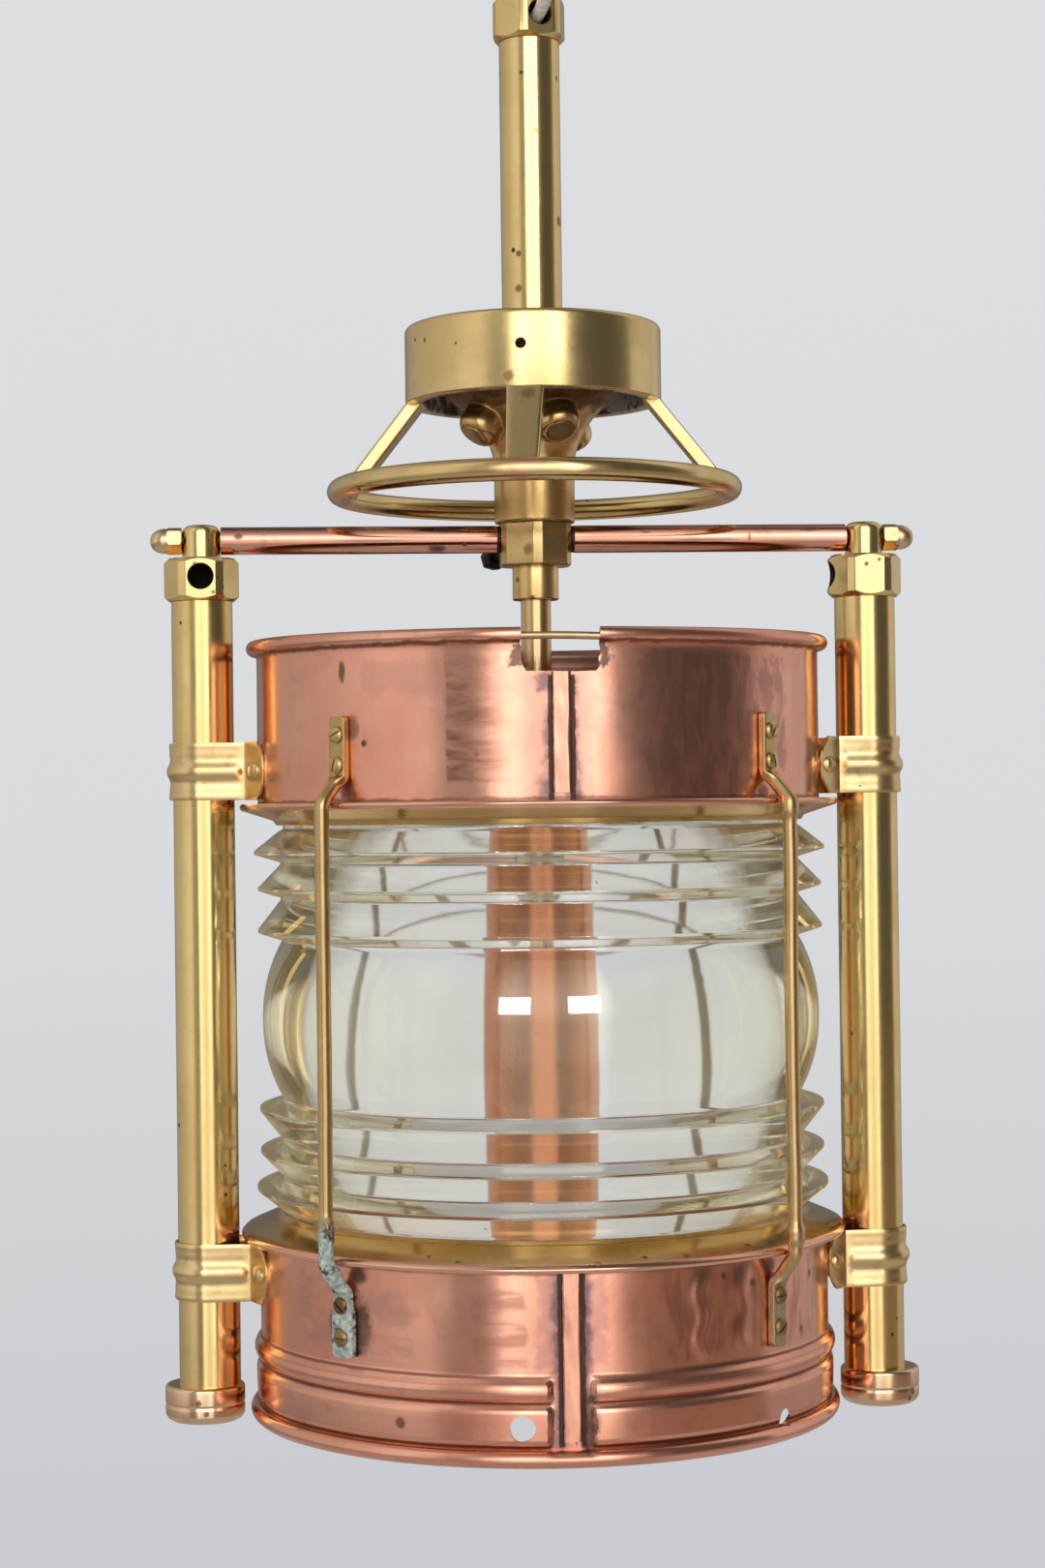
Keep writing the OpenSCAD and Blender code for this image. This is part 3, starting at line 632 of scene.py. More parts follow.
def dents(seed, amp, scale):
    def f(ca, sa, r, z):
        p = Vector((r * ca / scale, r * sa / scale, z / scale)) + Vector((seed, seed * 1.7, seed * 0.3))
        return amp * noise.noise(p), 0.0
    return f


# ------------------------------------------------------------------ finish of each part
def on_drum(nt, ang, z, seed=0.0):
    """Unrolled drum coordinates: arc length and height, both in metres."""
    return nt.combine(nt.math("MULTIPLY", ang, 0.1017), nt.math("ADD", z, seed), seed)


def region(nt, ang, z, a0, a1, z0, z1, soft=0.7, rag=1.2, freq=260, seed=0.0):
    """1 inside a ragged patch of a drum between two azimuths (degrees) and two heights (mm)."""
    p = on_drum(nt, ang, z, seed)
    n1 = nt.math("SUBTRACT", nt.noise(p, freq, 4, 0.62), 0.5)
    n2 = nt.math("SUBTRACT", nt.noise(nt.vmath("ADD", p, (0.37, 0.11, 0)), freq, 4, 0.62), 0.5)
    x = nt.math("ADD", nt.math("MULTIPLY", ang, 101.7), nt.math("MULTIPLY", n1, 4 * rag))
    y = nt.math("ADD", nt.math("MULTIPLY", z, 1000.0), nt.math("MULTIPLY", n2, 4 * rag))
    k = radians(1) * 101.7
    f = nt.math("MULTIPLY", nt.step(x, a0 * k - soft, a0 * k + soft), nt.step(x, a1 * k - soft, a1 * k + soft, 1.0, 0.0))
    g = nt.math("MULTIPLY", nt.step(y, z0 - soft, z0 + soft), nt.step(y, z1 - soft, z1 + soft, 1.0, 0.0))
    return nt.math("MULTIPLY", f, g)


def streaks(nt, ang, z, along, across, lo=0.42, hi=0.62, seed=0.0):
    """Noise drawn out round the drum (along) and up it (across), as a mask."""
    p = nt.combine(nt.math("MULTIPLY", ang, 0.1017 * along), nt.math("MULTIPLY", z, across), seed)
    return nt.step(nt.noise(p, 100, 4, 0.6, 0.5), lo, hi)


def layer(nt, state, mask, k, tone, rough):
    """Lays a tone and a roughness over the state (colour, roughness)."""
    f = nt.math("MULTIPLY", mask, k, clamp=True)
    return nt.mix(f, state[0], tone), nt.fmix(f, state[1], rough)


BROWN = (0.36, 0.16, 0.105)
PURPLE = (0.46, 0.24, 0.22)
SOLDER = (0.088, 0.074, 0.096)
BLACK = (0.060, 0.032, 0.024)


def upper_patina(nt, co, ang, z, col, r):
    st = (col, r)
    fade = nt.step(ang, radians(-17), radians(-8), 1.0, 0.0)
    fade = nt.math("MULTIPLY", fade, nt.step(z, -0.256, -0.247, 1.0, 0.35))
    st = layer(nt, st, nt.math("MULTIPLY", nt.math("MULTIPLY", region(nt, ang, z, -22.0, -7.5, -292, -248, 0.5, 0.9, 120), fade), streaks(nt, ang, z, 0.5, 2.3, 0.26, 0.72)), 1.0, (0.27, 0.125, 0.085), 0.32)
    st = layer(nt, st, nt.math("MULTIPLY", region(nt, ang, z, 15.0, 41.0, -297, -249, 1.2, 2.0), streaks(nt, ang, z, 2.0, 0.5, 0.34, 0.60, 0.2)), 0.62, (0.34, 0.165, 0.115), 0.30)
    st = layer(nt, st, nt.math("MULTIPLY", region(nt, ang, z, 40.6, 52.6, -288, -250, 1.0, 2.6, 150), streaks(nt, ang, z, 1.6, 0.6, 0.38, 0.55, 0.4)), 0.70, PURPLE, 0.34)
    st = layer(nt, st, region(nt, ang, z, -40, -23, -262, -251, 2.0, 3.0, 120, 0.3), 0.25, PURPLE, 0.30)
    st = layer(nt, st, region(nt, ang, z, 8, 24, -286, -262, 2.0, 3.0, 120, 0.7), 0.22, PURPLE, 0.28)
    # heat marks and solder at both sides of the strip, then painted shadow lines along its edges
    st = layer(nt, st, region(nt, ang, z, -6.4, 6.2, -299, -256, 2.2, 3.2, 150, 0.1), 0.30, PURPLE, 0.26)
    st = layer(nt, st, region(nt, ang, z, -4.7, -1.2, -262.5, -256.0, 1.5, 1.8, 220), 0.72, SOLDER, 0.36)
    st = layer(nt, st, region(nt, ang, z, -3.2, -1.2, -298, -268, 2.2, 2.2, 150, 0.2), 0.78, SOLDER, 0.36)
    st = layer(nt, st, region(nt, ang, z, -5.0, -1.2, -299, -291, 2.2, 2.2, 190, 0.3), 0.55, SOLDER, 0.36)
    st = layer(nt, st, region(nt, ang, z, 1.2, 3.4, -299, -281, 2.0, 2.0, 150, 0.5), 0.78, SOLDER, 0.36)
    st = layer(nt, st, region(nt, ang, z, 1.2, 2.9, -286, -257, 1.6, 1.6, 150, 0.6), 0.75, SOLDER, 0.36)
    # painted shadow: thin black lines along both edges of the strip
    st = layer(nt, st, region(nt, ang, z, -2.5, -1.5, -299, -257, 0.2, 0.25, 300, 0.3), 0.9, BLACK, 0.5)
    st = layer(nt, st, region(nt, ang, z, 1.5, 2.6, -299, -257, 0.2, 0.25, 300, 0.6), 0.9, BLACK, 0.5)
    # solder about the corners of the notch
    st = layer(nt, st, region(nt, ang, z, -9.6, -7.0, -253.5, -246.5, 1.0, 3.0, 200, 0.15), 0.85, (0.10, 0.065, 0.06), 0.35)
    st = layer(nt, st, region(nt, ang, z, 7.0, 9.4, -254.0, -246.5, 1.0, 3.0, 200, 0.85), 0.85, (0.10, 0.065, 0.06), 0.35)
    # painted shade: the inside of the drum near black, and the far half of the rim browner
    s = nt.sep(co)
    rad = nt.vmath("LENGTH", nt.combine(s[0], s[1], 0.0))
    st = layer(nt, st, nt.math("MULTIPLY", nt.step(rad, 100.95 * MM, 101.15 * MM, 1.0, 0.0), nt.step(z, -0.2462, -0.2458, 1.0, 0.0)), 0.97, (0.050, 0.028, 0.022), 0.6)
    st = layer(nt, st, nt.math("MULTIPLY", nt.step(s[1], 0.055, 0.075), nt.step(z, -0.247, -0.2455)), 0.7, (0.20, 0.13, 0.105), 0.4)
    # painted shade: a dark band under the rim bead and a black band down at the flange
    zm = nt.math("MULTIPLY", z, 1000.0)
    n = nt.math("MULTIPLY", nt.math("SUBTRACT", nt.noise(on_drum(nt, ang, z, 0.9), 130, 4, 0.65), 0.5), 3.0)
    st = layer(nt, st, nt.step(nt.math("ABSOLUTE", nt.math("SUBTRACT", nt.math("ADD", zm, n), -245.6)), 0.25, 1.0, 1.0, 0.0), 0.80, (0.22, 0.10, 0.06), 0.35)
    # painted shade: black band just above the flange
    return layer(nt, st, nt.step(nt.math("ADD", zm, n), -297.6, -296.6, 1.0, 0.0), 0.60, BLACK, 0.45)


def lower_patina(nt, co, ang, z, col, r):
    st = (col, r)
    x = nt.math("MULTIPLY", ang, 102.5)
    zm = nt.math("MULTIPLY", z, 1000.0)
    p = on_drum(nt, ang, z, 0.35)
    n = nt.math("MULTIPLY", nt.math("SUBTRACT", nt.noise(p, 140, 4, 0.65), 0.5), 2.0)
    st = layer(nt, st, nt.math("MULTIPLY", region(nt, ang, z, -60, -30, -483, -462, 2.5, 4.0, 90, 0.4), streaks(nt, ang, z, 0.5, 1.4, 0.36, 0.60)), 0.45, PURPLE, 0.30)
    st = layer(nt, st, nt.math("MULTIPLY", region(nt, ang, z, 18, 62, -484, -455, 2.0, 4.0, 90, 0.8), streaks(nt, ang, z, 1.8, 0.5, 0.38, 0.62, 0.3)), 0.50, (0.37, 0.15, 0.09), 0.30)
    st = layer(nt, st, region(nt, ang, z, -5.6, 6.8, -486, -455, 2.0, 3.4, 140, 0.15), 0.38, (0.34, 0.17, 0.19), 0.28)
    st = layer(nt, st, region(nt, ang, z, -3.0, -0.8, -512, -454, 2.0, 2.2, 140, 0.25), 0.80, SOLDER, 0.36)
    st = layer(nt, st, region(nt, ang, z, 1.8, 3.9, -512, -454, 2.0, 2.4, 140, 0.55), 0.80, SOLDER, 0.36)
    st = layer(nt, st, region(nt, ang, z, 2.2, 4.6, -512, -494, 1.0, 2.2, 260, 0.75), 0.70, BLACK, 0.5)
    # painted shadow: thin black lines along both edges of the strip
    st = layer(nt, st, region(nt, ang, z, -2.1, -1.0, -511, -454, 0.2, 0.3, 300, 0.3), 0.9, BLACK, 0.5)
    st = layer(nt, st, region(nt, ang, z, 2.1, 3.0, -511, -454, 0.25, 0.4, 300, 0.6), 0.9, BLACK, 0.5)
    st = layer(nt, st, nt.math("MULTIPLY", region(nt, ang, z, -17.5, -8.0, -484, -460, 1.2, 1.8, 150, 0.65), streaks(nt, ang, z, 0.4, 2.4, 0.38, 0.60, 0.7)), 0.55, BROWN, 0.30)
    # a wavy scratch
    wv = nt.math("MULTIPLY", nt.math("SINE", nt.math("MULTIPLY", z, 430.0)), 1.1)
    d = nt.math("ABSOLUTE", nt.math("SUBTRACT", nt.math("ADD", nt.math("ADD", x, wv), nt.math("MULTIPLY", n, 0.7)), radians(27.3) * 102.5))
    f = nt.math("MULTIPLY", nt.step(d, 0.25, 0.75, 1.0, 0.0), nt.math("MULTIPLY", nt.step(zm, -485, -483), nt.step(zm, -456, -454, 1.0, 0.0)))
    st = layer(nt, st, f, 0.60, BROWN, 0.4)
    # painted shade in the grooves, not on the flat patch at the joint
    off = nt.step(nt.math("ABSOLUTE", nt.math("SUBTRACT", x, 0.7)), 6.2, 7.6)
    for zc, w, k in ((-488.1, 0.55, 0.75), (-490.5, 0.4, 0.25), (-496.8, 0.75, 0.85), (-511.0, 0.8, 0.85)):
        f = nt.math("MULTIPLY", off, nt.step(nt.math("ABSOLUTE", nt.math("SUBTRACT", nt.math("ADD", zm, nt.math("MULTIPLY", n, 0.25)), zc)), w * 0.4, w * 1.4, 1.0, 0.0))
        st = layer(nt, st, f, k, (0.13, 0.055, 0.035), 0.45)
    # painted shade: a black band along the top edge, under the flange
    return layer(nt, st, nt.step(nt.math("ADD", zm, n), -455.2, -454.0), 0.60, BLACK, 0.45)


def strip_patina(nt, co, ang, z, col, r, a0, a1, z_band):
    st = (col, r)
    zm = nt.math("MULTIPLY", z, 1000.0)
    st = layer(nt, st, streaks(nt, ang, z, 2.2, 0.7, 0.44, 0.66, 0.6), 0.40, PURPLE, 0.30)
    # painted shadow: the strip's two edges darkened black
    d = nt.math("MULTIPLY", nt.math("SUBTRACT", ang, radians((a0 + a1) / 2)), 101.7)
    n = nt.math("MULTIPLY", nt.math("SUBTRACT", nt.noise(on_drum(nt, ang, z, 0.2), 300, 4, 0.6), 0.5), 0.9)
    edge = nt.step(nt.math("ADD", nt.math("ABSOLUTE", d), n), 2.55, 3.0)
    st = layer(nt, st, edge, 0.85, BLACK, 0.5)
    if z_band:
        # painted shade: a dark band across the foot of the upper strip at the flange
        st = layer(nt, st, nt.step(nt.math("ABSOLUTE", nt.math("SUBTRACT", nt.math("ADD", zm, n), -296.9)), 0.5, 1.2, 1.0, 0.0), 0.85, (0.16, 0.07, 0.04), 0.4)
        st = layer(nt, st, nt.math("MULTIPLY", nt.step(zm, -298.0, -298.6), streaks(nt, ang, z, 2.5, 1.0, 0.48, 0.56, 0.9)), 0.9, (0.72, 0.70, 0.66), 0.5)
    return st


def paint_bore_shade(mat, cx, z_off, r_in=11.3, side_hole=False):
    """Paints shade into the bore and the side hole of a fitting: near black, rough and less metallic there."""
    nt = NT(mat.node_tree)
    b = mat.node_tree.nodes["Principled BSDF"]
    s = nt.sep(nt.vmath("SUBTRACT", obj_coord(nt), (cx * MM, 0, (z_off - 14.2) * MM)))
    rad = nt.vmath("LENGTH", nt.combine(s[0], s[1], 0.0))
    # painted shade inside the bore
    f = nt.math("MULTIPLY", nt.step(rad, (r_in - 0.35) * MM, r_in * MM, 1.0, 0.0), nt.step(nt.math("ABSOLUTE", s[2]), 6.9 * MM, 7.2 * MM, 1.0, 0.0))
    if side_hole:
        # painted shade round the side hole
        away = nt.vmath("LENGTH", nt.combine(s[1], nt.math("SUBTRACT", s[2], 0.7 * MM), 0.0))
        f = nt.math("MAXIMUM", f, nt.math("MULTIPLY", nt.step(away, 4.7 * MM, 5.1 * MM, 1.0, 0.0), nt.step(s[0], -6 * MM, -5 * MM, 1.0, 0.0)))
    nt.put(b.inputs["Base Color"], nt.mix(f, b.inputs["Base Color"].links[0].from_socket, (0.020, 0.012, 0.007)))
    nt.put(b.inputs["Roughness"], nt.fmix(f, b.inputs["Roughness"].links[0].from_socket, 0.65))
    nt.put(b.inputs["Metallic"], nt.fmix(f, 1.0, 0.3))
    return mat


def shade_and_tarnish(mat, r0, z0):
    """Dark brown painted shade with ragged brown and grey tarnish inside a radius (mm) and below a height."""
    nt = NT(mat.node_tree)
    b = mat.node_tree.nodes["Principled BSDF"]
    co = obj_coord(nt)
    s = nt.sep(co)
    rad = nt.vmath("LENGTH", nt.combine(s[0], s[1], 0.0))
    n = nt.noise(co, 150, 5, 0.68, 0.4)
    n2 = nt.noise(nt.vmath("ADD", co, (0.3, 0.8, 0.1)), 55, 3, 0.55)
    inner = nt.math("MULTIPLY", nt.step(rad, (r0 - 0.1) * MM, r0 * MM, 1.0, 0.0), nt.step(s[2], (z0 + 25.8) * MM, (z0 + 26.6) * MM, 1.0, 0.0))
    face = nt.math("MULTIPLY", nt.step(s[2], (z0 + 0.15) * MM, (z0 + 0.55) * MM, 1.0, 0.0),
                   nt.step(nt.math("ADD", rad, nt.math("MULTIPLY", nt.math("SUBTRACT", n, 0.5), 0.016)), (r0 + 1.2) * MM, (r0 + 3.2) * MM, 1.0, 0.0))
    # painted shade on the inside wall and on the inner part of the bottom face
    f = nt.math("MAXIMUM", inner, face)
    tone = nt.mix(nt.step(n2, 0.40, 0.50), (0.085, 0.050, 0.028), (0.56, 0.54, 0.50))
    tone = nt.mix(nt.step(n, 0.50, 0.60), tone, (0.16, 0.095, 0.045))
    nt.put(b.inputs["Base Color"], nt.mix(f, b.inputs["Base Color"].links[0].from_socket, tone))
    nt.put(b.inputs["Roughness"], nt.fmix(f, b.inputs["Roughness"].links[0].from_socket, 0.55))
    nt.put(b.inputs["Metallic"], nt.fmix(f, 1.0, 0.25))


def flare_corner_shade(mat, z0, r0):
    """Brown painted shade in the corner between the hub's flare and the cup."""
    nt = NT(mat.node_tree)
    b = mat.node_tree.nodes["Principled BSDF"]
    co = obj_coord(nt)
    s = nt.sep(co)
    rad = nt.vmath("LENGTH", nt.combine(s[0], s[1], 0.0))
    n = nt.noise(co, 130, 5, 0.68, 0.4)
    w = nt.math("MULTIPLY", nt.math("SUBTRACT", n, 0.5), 0.018)
    f = nt.math("MULTIPLY", nt.step(nt.math("ADD", rad, w), (r0 - 1) * MM, (r0 + 1.5) * MM), nt.step(nt.math("ADD", s[2], w), (z0 - 1) * MM, (z0 + 1.5) * MM))
    f = nt.math("MULTIPLY", f, 0.9)
    nt.put(b.inputs["Base Color"], nt.mix(f, b.inputs["Base Color"].links[0].from_socket, nt.mix(nt.step(n, 0.4, 0.6), (0.085, 0.05, 0.028), (0.22, 0.13, 0.06))))
    nt.put(b.inputs["Roughness"], nt.fmix(f, b.inputs["Roughness"].links[0].from_socket, 0.5))


def copper_edge(mat, r0, tone=(0.92, 0.50, 0.34)):
    """Copper-coloured outer edge of a flange, where the colour of the braze has run."""
    nt = NT(mat.node_tree)
    b = mat.node_tree.nodes["Principled BSDF"]
    co = obj_coord(nt)
    s = nt.sep(co)
    rad = nt.vmath("LENGTH", nt.combine(s[0], s[1], 0.0))
    rad = nt.math("ADD", rad, nt.math("MULTIPLY", nt.math("SUBTRACT", nt.noise(co, 160, 3, 0.6), 0.5), 0.0012))
    nt.put(b.inputs["Base Color"], nt.mix(nt.step(rad, (r0 - 0.4) * MM, (r0 + 0.5) * MM), b.inputs["Base Color"].links[0].from_socket, tone))
    return mat


m_stem = brass("brass_stem", rough=0.13, stain=0.20, axis=(0, 0), spots=[
    (cyl(-29.5, 11, -100.5), 0.0013, 0.9), (cyl(-30.4, 11, -113.1), 0.0016, 0.8), (cyl(60, 11, -36), 0.0012, 0.8),
    (cyl(62, 11, -88), 0.0022, 0.8), (cyl(5, 11, -56), 0.0012, 0.4)])
m_fit_top = paint_bore_shade(brass("brass_fitting_top", rough=0.17, stain=0.25), 0, 0)
m_fit_left = paint_bore_shade(brass("brass_fitting_left", rough=0.17, stain=0.25, spots=[
    ((-0.1230, -0.0124, -0.2120), 0.0009, 0.8), ((-0.1165, -0.0124, -0.2222), 0.0008, 0.8)]), -POST_X, Z_BAR)
m_fit_right = paint_bore_shade(brass("brass_fitting_right", rough=0.17, stain=0.22, spots=[
    ((0.1196, -0.0124, -0.2136), 0.0010, 0.9), ((0.1243, -0.0124, -0.2120), 0.0009, 0.8)]), POST_X, Z_BAR, side_hole=True)
m_plug = brass("brass_plugs", base=(0.62, 0.44, 0.19), rough=0.24, stain=0.6, cast=True, spots=[(cyl(18, 25.3, -166.6), 0.0085, 0.72)])
m_ferr = brass("brass_ferrule", base=(0.80, 0.56, 0.24), rough=0.18, stain=0.4, spots=[(cyl(-13, 8.4, -224.9), 0.0012, 0.9), (cyl(-55, 8.4, -218), 0.0011, 0.8)])
m_cup = brass("brass_cup", base=BRASS_CAST, rough=0.19, stain=0.25, axis=(0, 0), lines=1.0, spots=[
    (cyl(-15.3, 46.6, -149.8), 0.0024, 0.8), (cyl(-60, 46.6, -134), 0.001, 0.9), (cyl(-40, 46.6, -137), 0.0006, 0.9)])
shade_and_tarnish(m_cup, 40.95, -153.9)
m_wheel = brass("brass_wheel", base=BRASS_CAST, rough=0.17, stain=0.45, pits=1.0)
m_hub = brass("brass_hub", base=(0.74, 0.50, 0.21), rough=0.22, stain=0.6, cast=True)
flare_corner_shade(m_hub, -158.5, 24.0)
m_hexc = brass("brass_centre", base=(0.70, 0.50, 0.22), rough=0.20, stain=0.6, pits=1.0, spots=[((-0.0040, -0.0137, -0.2075), 0.0026, 0.6)])
m_postL = brass("brass_post_left", rough=0.13, stain=0.18, axis=(-0.121, 0), pits=1.0)
m_postR = brass("brass_post_right", rough=0.13, stain=0.22, axis=(0.121, 0), pits=1.0)
m_clip = brass("brass_clips", base=(0.84, 0.61, 0.30), rough=0.20, stain=0.8, cast=True)
m_rivet = brass("brass_rivets", base=(0.84, 0.60, 0.30), rough=0.24, stain=0.6)
m_wire = brass("brass_wire", base=(0.62, 0.44, 0.27), rough=0.30, stain=0.8)
m_cap = brass("bronze_caps", base=(0.88, 0.59, 0.37), rough=0.16, stain=0.4, pits=0.6, spots=[
    ((-0.1251, -0.0141, -0.5110), 0.0014, 0.9), ((-0.1221, -0.0143, -0.5149), 0.0011, 0.9), ((0.1330, -0.0101, -0.5140), 0.0016, 0.8), ((0.1318, -0.0113, -0.5165), 0.0012, 0.8)])
m_flange_up = copper_edge(brass("brass_flange_upper", base=(0.72, 0.44, 0.17), rough=0.16, stain=0.6, axis=(0, 0), lines=0.5), 106.4)
m_flange_low = copper_edge(brass("brass_flange_lower", base=(0.74, 0.45, 0.175), rough=0.14, stain=0.7, axis=(0, 0), lines=0.5, spots=[
    (cyl(14, 105, -449.5), 0.0012, 0.8), (cyl(22, 106, -449.5), 0.0016, 0.7), (cyl(41, 107, -450), 0.003, 0.7), (cyl(37, 104, -448.5), 0.0014, 0.8),
    (cyl(-20, 106, -450), 0.0010, 0.7), (cyl(-26, 104, -449), 0.0010, 0.6), (cyl(5, 107, -450.5), 0.0013, 0.7)]), 107.2)
m_guard = brass("brass_guard", base=(0.50, 0.43, 0.34), rough=0.42, stain=0.8, pits=1.0, cast=True)
m_screw = brass("brass_screws", base=(0.66, 0.48, 0.22), rough=0.26, stain=0.8, spots=[
    (cyl(-45, 106.5, -467.4), 0.0042, 0.95), (cyl(-45, 106.5, -478.2), 0.0040, 0.7), (cyl(45, 106.5, -467.4), 0.0040, 0.75), (cyl(45, 106.5, -478.2), 0.0040, 0.6)])
m_nut = brass("brass_nuts", base=(0.80, 0.60, 0.32), rough=0.20, stain=0.7)
m_drop = brass("brass_drop", base=(0.80, 0.56, 0.30), rough=0.16, stain=0.3)
m_sleeve = copper("copper_sleeve", base=(0.76, 0.31, 0.15), rough=0.17, brown=0.9)
m_upper = copper("copper_upper", rough=0.17, brown=0.30, extra=upper_patina, spots=[
    (cyl(-44.9, 101.7, -254.0), 0.0030, 0.85, (0.55, 0.55, 1.35)), (cyl(-39.5, 101.7, -278.4), 0.0013, 0.95, (1, 1, 1)),
    (cyl(-42.4, 101.7, -273.1), 0.0034, 0.65, (1, 1, 1.4)), (cyl(-44.0, 101.7, -294.9), 0.0034, 0.75, (1.1, 1, 0.9)),
    (cyl(44.5, 101.7, -296.0), 0.0034, 0.6, (1.1, 1, 0.8)), (cyl(31.5, 101.7, -285.0), 0.0012, 0.7, (1, 1, 1)), (cyl(-16.0, 101.7, -283.0), 0.0010, 0.7, (1, 1, 1))])
m_lower = copper("copper_lower", rough=0.17, brown=0.35, extra=lower_patina, spots=[
    (cyl(31.5, 102.5, -458.4), 0.0013, 0.95, (1, 1, 1)), (cyl(39.0, 102.5, -462.1), 0.0016, 0.8, (1, 1, 1)), (cyl(59.6, 102.5, -463.7), 0.0015, 0.8, (1, 1, 1)),
    (cyl(55.4, 102.5, -481.7), 0.0015, 0.8, (1, 1, 1)), (cyl(43.1, 102.5, -473.5), 0.0020, 0.7, (1, 1, 1.2)), (cyl(47.8, 102.5, -479.0), 0.0028, 0.6, (1, 1, 1.2)),
    (cyl(-48.2, 102.5, -474.2), 0.0034, 0.85, (1, 1, 1.7)), (cyl(-41.3, 102.5, -474.4), 0.0046, 0.88, (1, 1, 2.1)),
    (cyl(-41.9, 102.5, -457.2), 0.0036, 0.85, (1.1, 1, 0.9)), (cyl(43.9, 102.5, -456.9), 0.0032, 0.8, (1.1, 1, 0.8)),
    (cyl(-32.1, 104.2, -504.4), 0.0022, 0.85, (1, 1, 1)), (cyl(-20.5, 104.2, -515.9), 0.0013, 0.9, (1.6, 1, 0.7)), (cyl(1.1, 102.5, -507.5), 0.0022, 0.95, (0.25, 1, 1.6))])
m_strip_up = copper("copper_strip_upper", base=(0.93, 0.48, 0.33), rough=0.19, brown=0.4, extra=lambda *a: strip_patina(*a, -1.8, 1.85, True))
m_strip_low = copper("copper_strip_lower", base=(0.93, 0.48, 0.33), rough=0.20, brown=0.4, extra=lambda *a: strip_patina(*a, -1.4, 2.2, False))
m_steel = plain("zinc_steel", (0.62, 0.61, 0.58), 0.35, 1.0, 0.2)
m_dark = plain("dark_steel", (0.045, 0.038, 0.032), 0.38, 0.85, 0.3)
m_ceramic = plain("ceramic", (0.83, 0.80, 0.73), 0.16, 0.0, 0.06, coat=0.6)
m_nylon = plain("nylon", (0.86, 0.85, 0.79), 0.42, 0.0, 0.05)
m_gasket = plain("putty", (0.30, 0.24, 0.16), 0.75, 0.0, 0.35, 90, 0.5)
m_bulb = plain("opal_glass", (0.90, 0.89, 0.85), 0.12, 0.0, 0.02, 60, 0.0, 0.5)
m_lens = glass("lens_glass", tint=(0.935, 0.95, 0.995), absorb=(0.955, 0.91, 0.28), density=12.5, rough=0.05)




# ------------------------------------------------------------------ hanging part
def tube(name, ro, ri, z0, z1, mat, slot, body, cx=0.0, seg=128, wob=None, rings=2):
    e = 0.25
    n = max(2, rings)
    pts = [(ri, z0 + e), (ri + e, z0), (ro - e, z0), (ro, z0 + e)]
    pts += [(ro, z0 + e + (z1 - z0 - 2 * e) * k / n) for k in range(1, n)]
    pts += [(ro, z1 - e), (ro - e, z1), (ri + e, z1), (ri, z1 - e)]
    return lathe(name, pts, mat, slot, body, seg, cx, wob=wob)


def hexagon(af, turn=0.0):
    c = af / sqrt(3)
    return [(c * cos(pi / 3 * i + turn), c * sin(pi / 3 * i + turn)) for i in range(6)]


def fitting(name, node, hole_az, cx, z_off, turn, body, mat):
    """Cast fitting: hexagon with broken corners, neck and its holes."""
    v, f = prism_data(hexagon(24.8), Z_STEM, Z_HEX)
    o = finish_mesh(name, v, f, mat, "brass", body, 30)
    v, f = prism_data(hexagon(26.8, pi / 6), Z_STEM - 1, Z_HEX + 1)
    boolean(o, [tool(v, f)], "INTERSECT", 20)
    bevel_mesh(o, 0.30, 2, 20)
    v, f = lathe_data([(0, Z_STEM - 1), (10.8, Z_STEM - 1), (14.0, Z_STEM + 2.2), (14.0, Z_HEX - 2.2), (10.8, Z_HEX + 1), (0, Z_HEX + 1)], 128, closed=False)
    boolean(o, [tool(v, f)], "INTERSECT", 20)
    neck = rounded([(0, -9), (6.85, -9), (6.85, 5.6, 3.1), (0, 5.6)], closed=False, n=9)
    v, f = lathe_data(neck + [(0.0, 5.6)], 96, closed=False)
    v2, f2 = prism_data(circle_poly(9.45, 96), Z_STEM - 11, Z_STEM + 1)
    a = tool(v, f)
    b = tool(v2, f2)
    boolean(o, [a, b], "UNION")
    cuts = []
    v, f = prism_data(circle_poly(6.5, 64), Z_STEM - 14, Z_HEX - 2.4)
    cuts.append(tool(v, f))
    hole = [(0, 3), (4.2, 3), (4.2, 11.4), (4.35, 11.9), (4.7, 12.3), (5.3, 13.2), (5.3, 17), (0, 17)]
    v, f = lathe_data(hole, 64, closed=False)
    cuts.append(tool(place(v, Matrix.Rotation(radians(hole_az), 4, "Z") @ Matrix.Translation((0, 0, -13.5)) @ Matrix.Rotation(radians(90), 4, "X")), f))
    v, f = prism_data(circle_poly(3.05, 48), -20, 20)
    cuts.append(tool(place(v, Matrix.Rotation(radians(90), 4, "Y")), f))
    boolean(o, cuts, "DIFFERENCE", 30)
    o.data.transform(Matrix.Translation((cx * MM, 0, z_off * MM)) @ Matrix.Rotation(radians(turn), 4, "Z"))
    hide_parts(node)
    return o


fitting("top_fitting_shown", "top_fitting", 0, 0, 0, TOP_TURN, "hanger", m_fit_top)
fitting("post_fitting_left_shown", "post_fitting_left", 0, -POST_X, Z_BAR, 0, "lantern", m_fit_left)
fitting("post_fitting_right_shown", "post_fitting_right", -90, POST_X, Z_BAR, 0, "lantern", m_fit_right)

o = tube("stem_tube_shown", 11.0, 9.5, Z_CUP, Z_STEM, m_stem, "brass", "hanger", wob=dents(3.3, 0.05, 26), rings=24)
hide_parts("stem_tube")

# hand wheel: cup, spokes, ring
cup = rounded([(5, Z_CUP - 4), (5, Z_CUP), (46.6, Z_CUP, 2.1), (46.6, Z_CUPB, 0.6), (40.6, Z_CUPB, 0.6), (40.6, Z_CUP - 4, 3)])
o = lathe("wheel_cup_shown", cup, m_cup, "brass_cast", "hanger", 256)
v, f = prism_data(circle_poly(1.95, 32), 0, 14)
boolean(o, [tool(place(v, m_at(CUP_HOLE, 36, Z_CUP - 12.6)), f)])
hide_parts("wheel_cup")

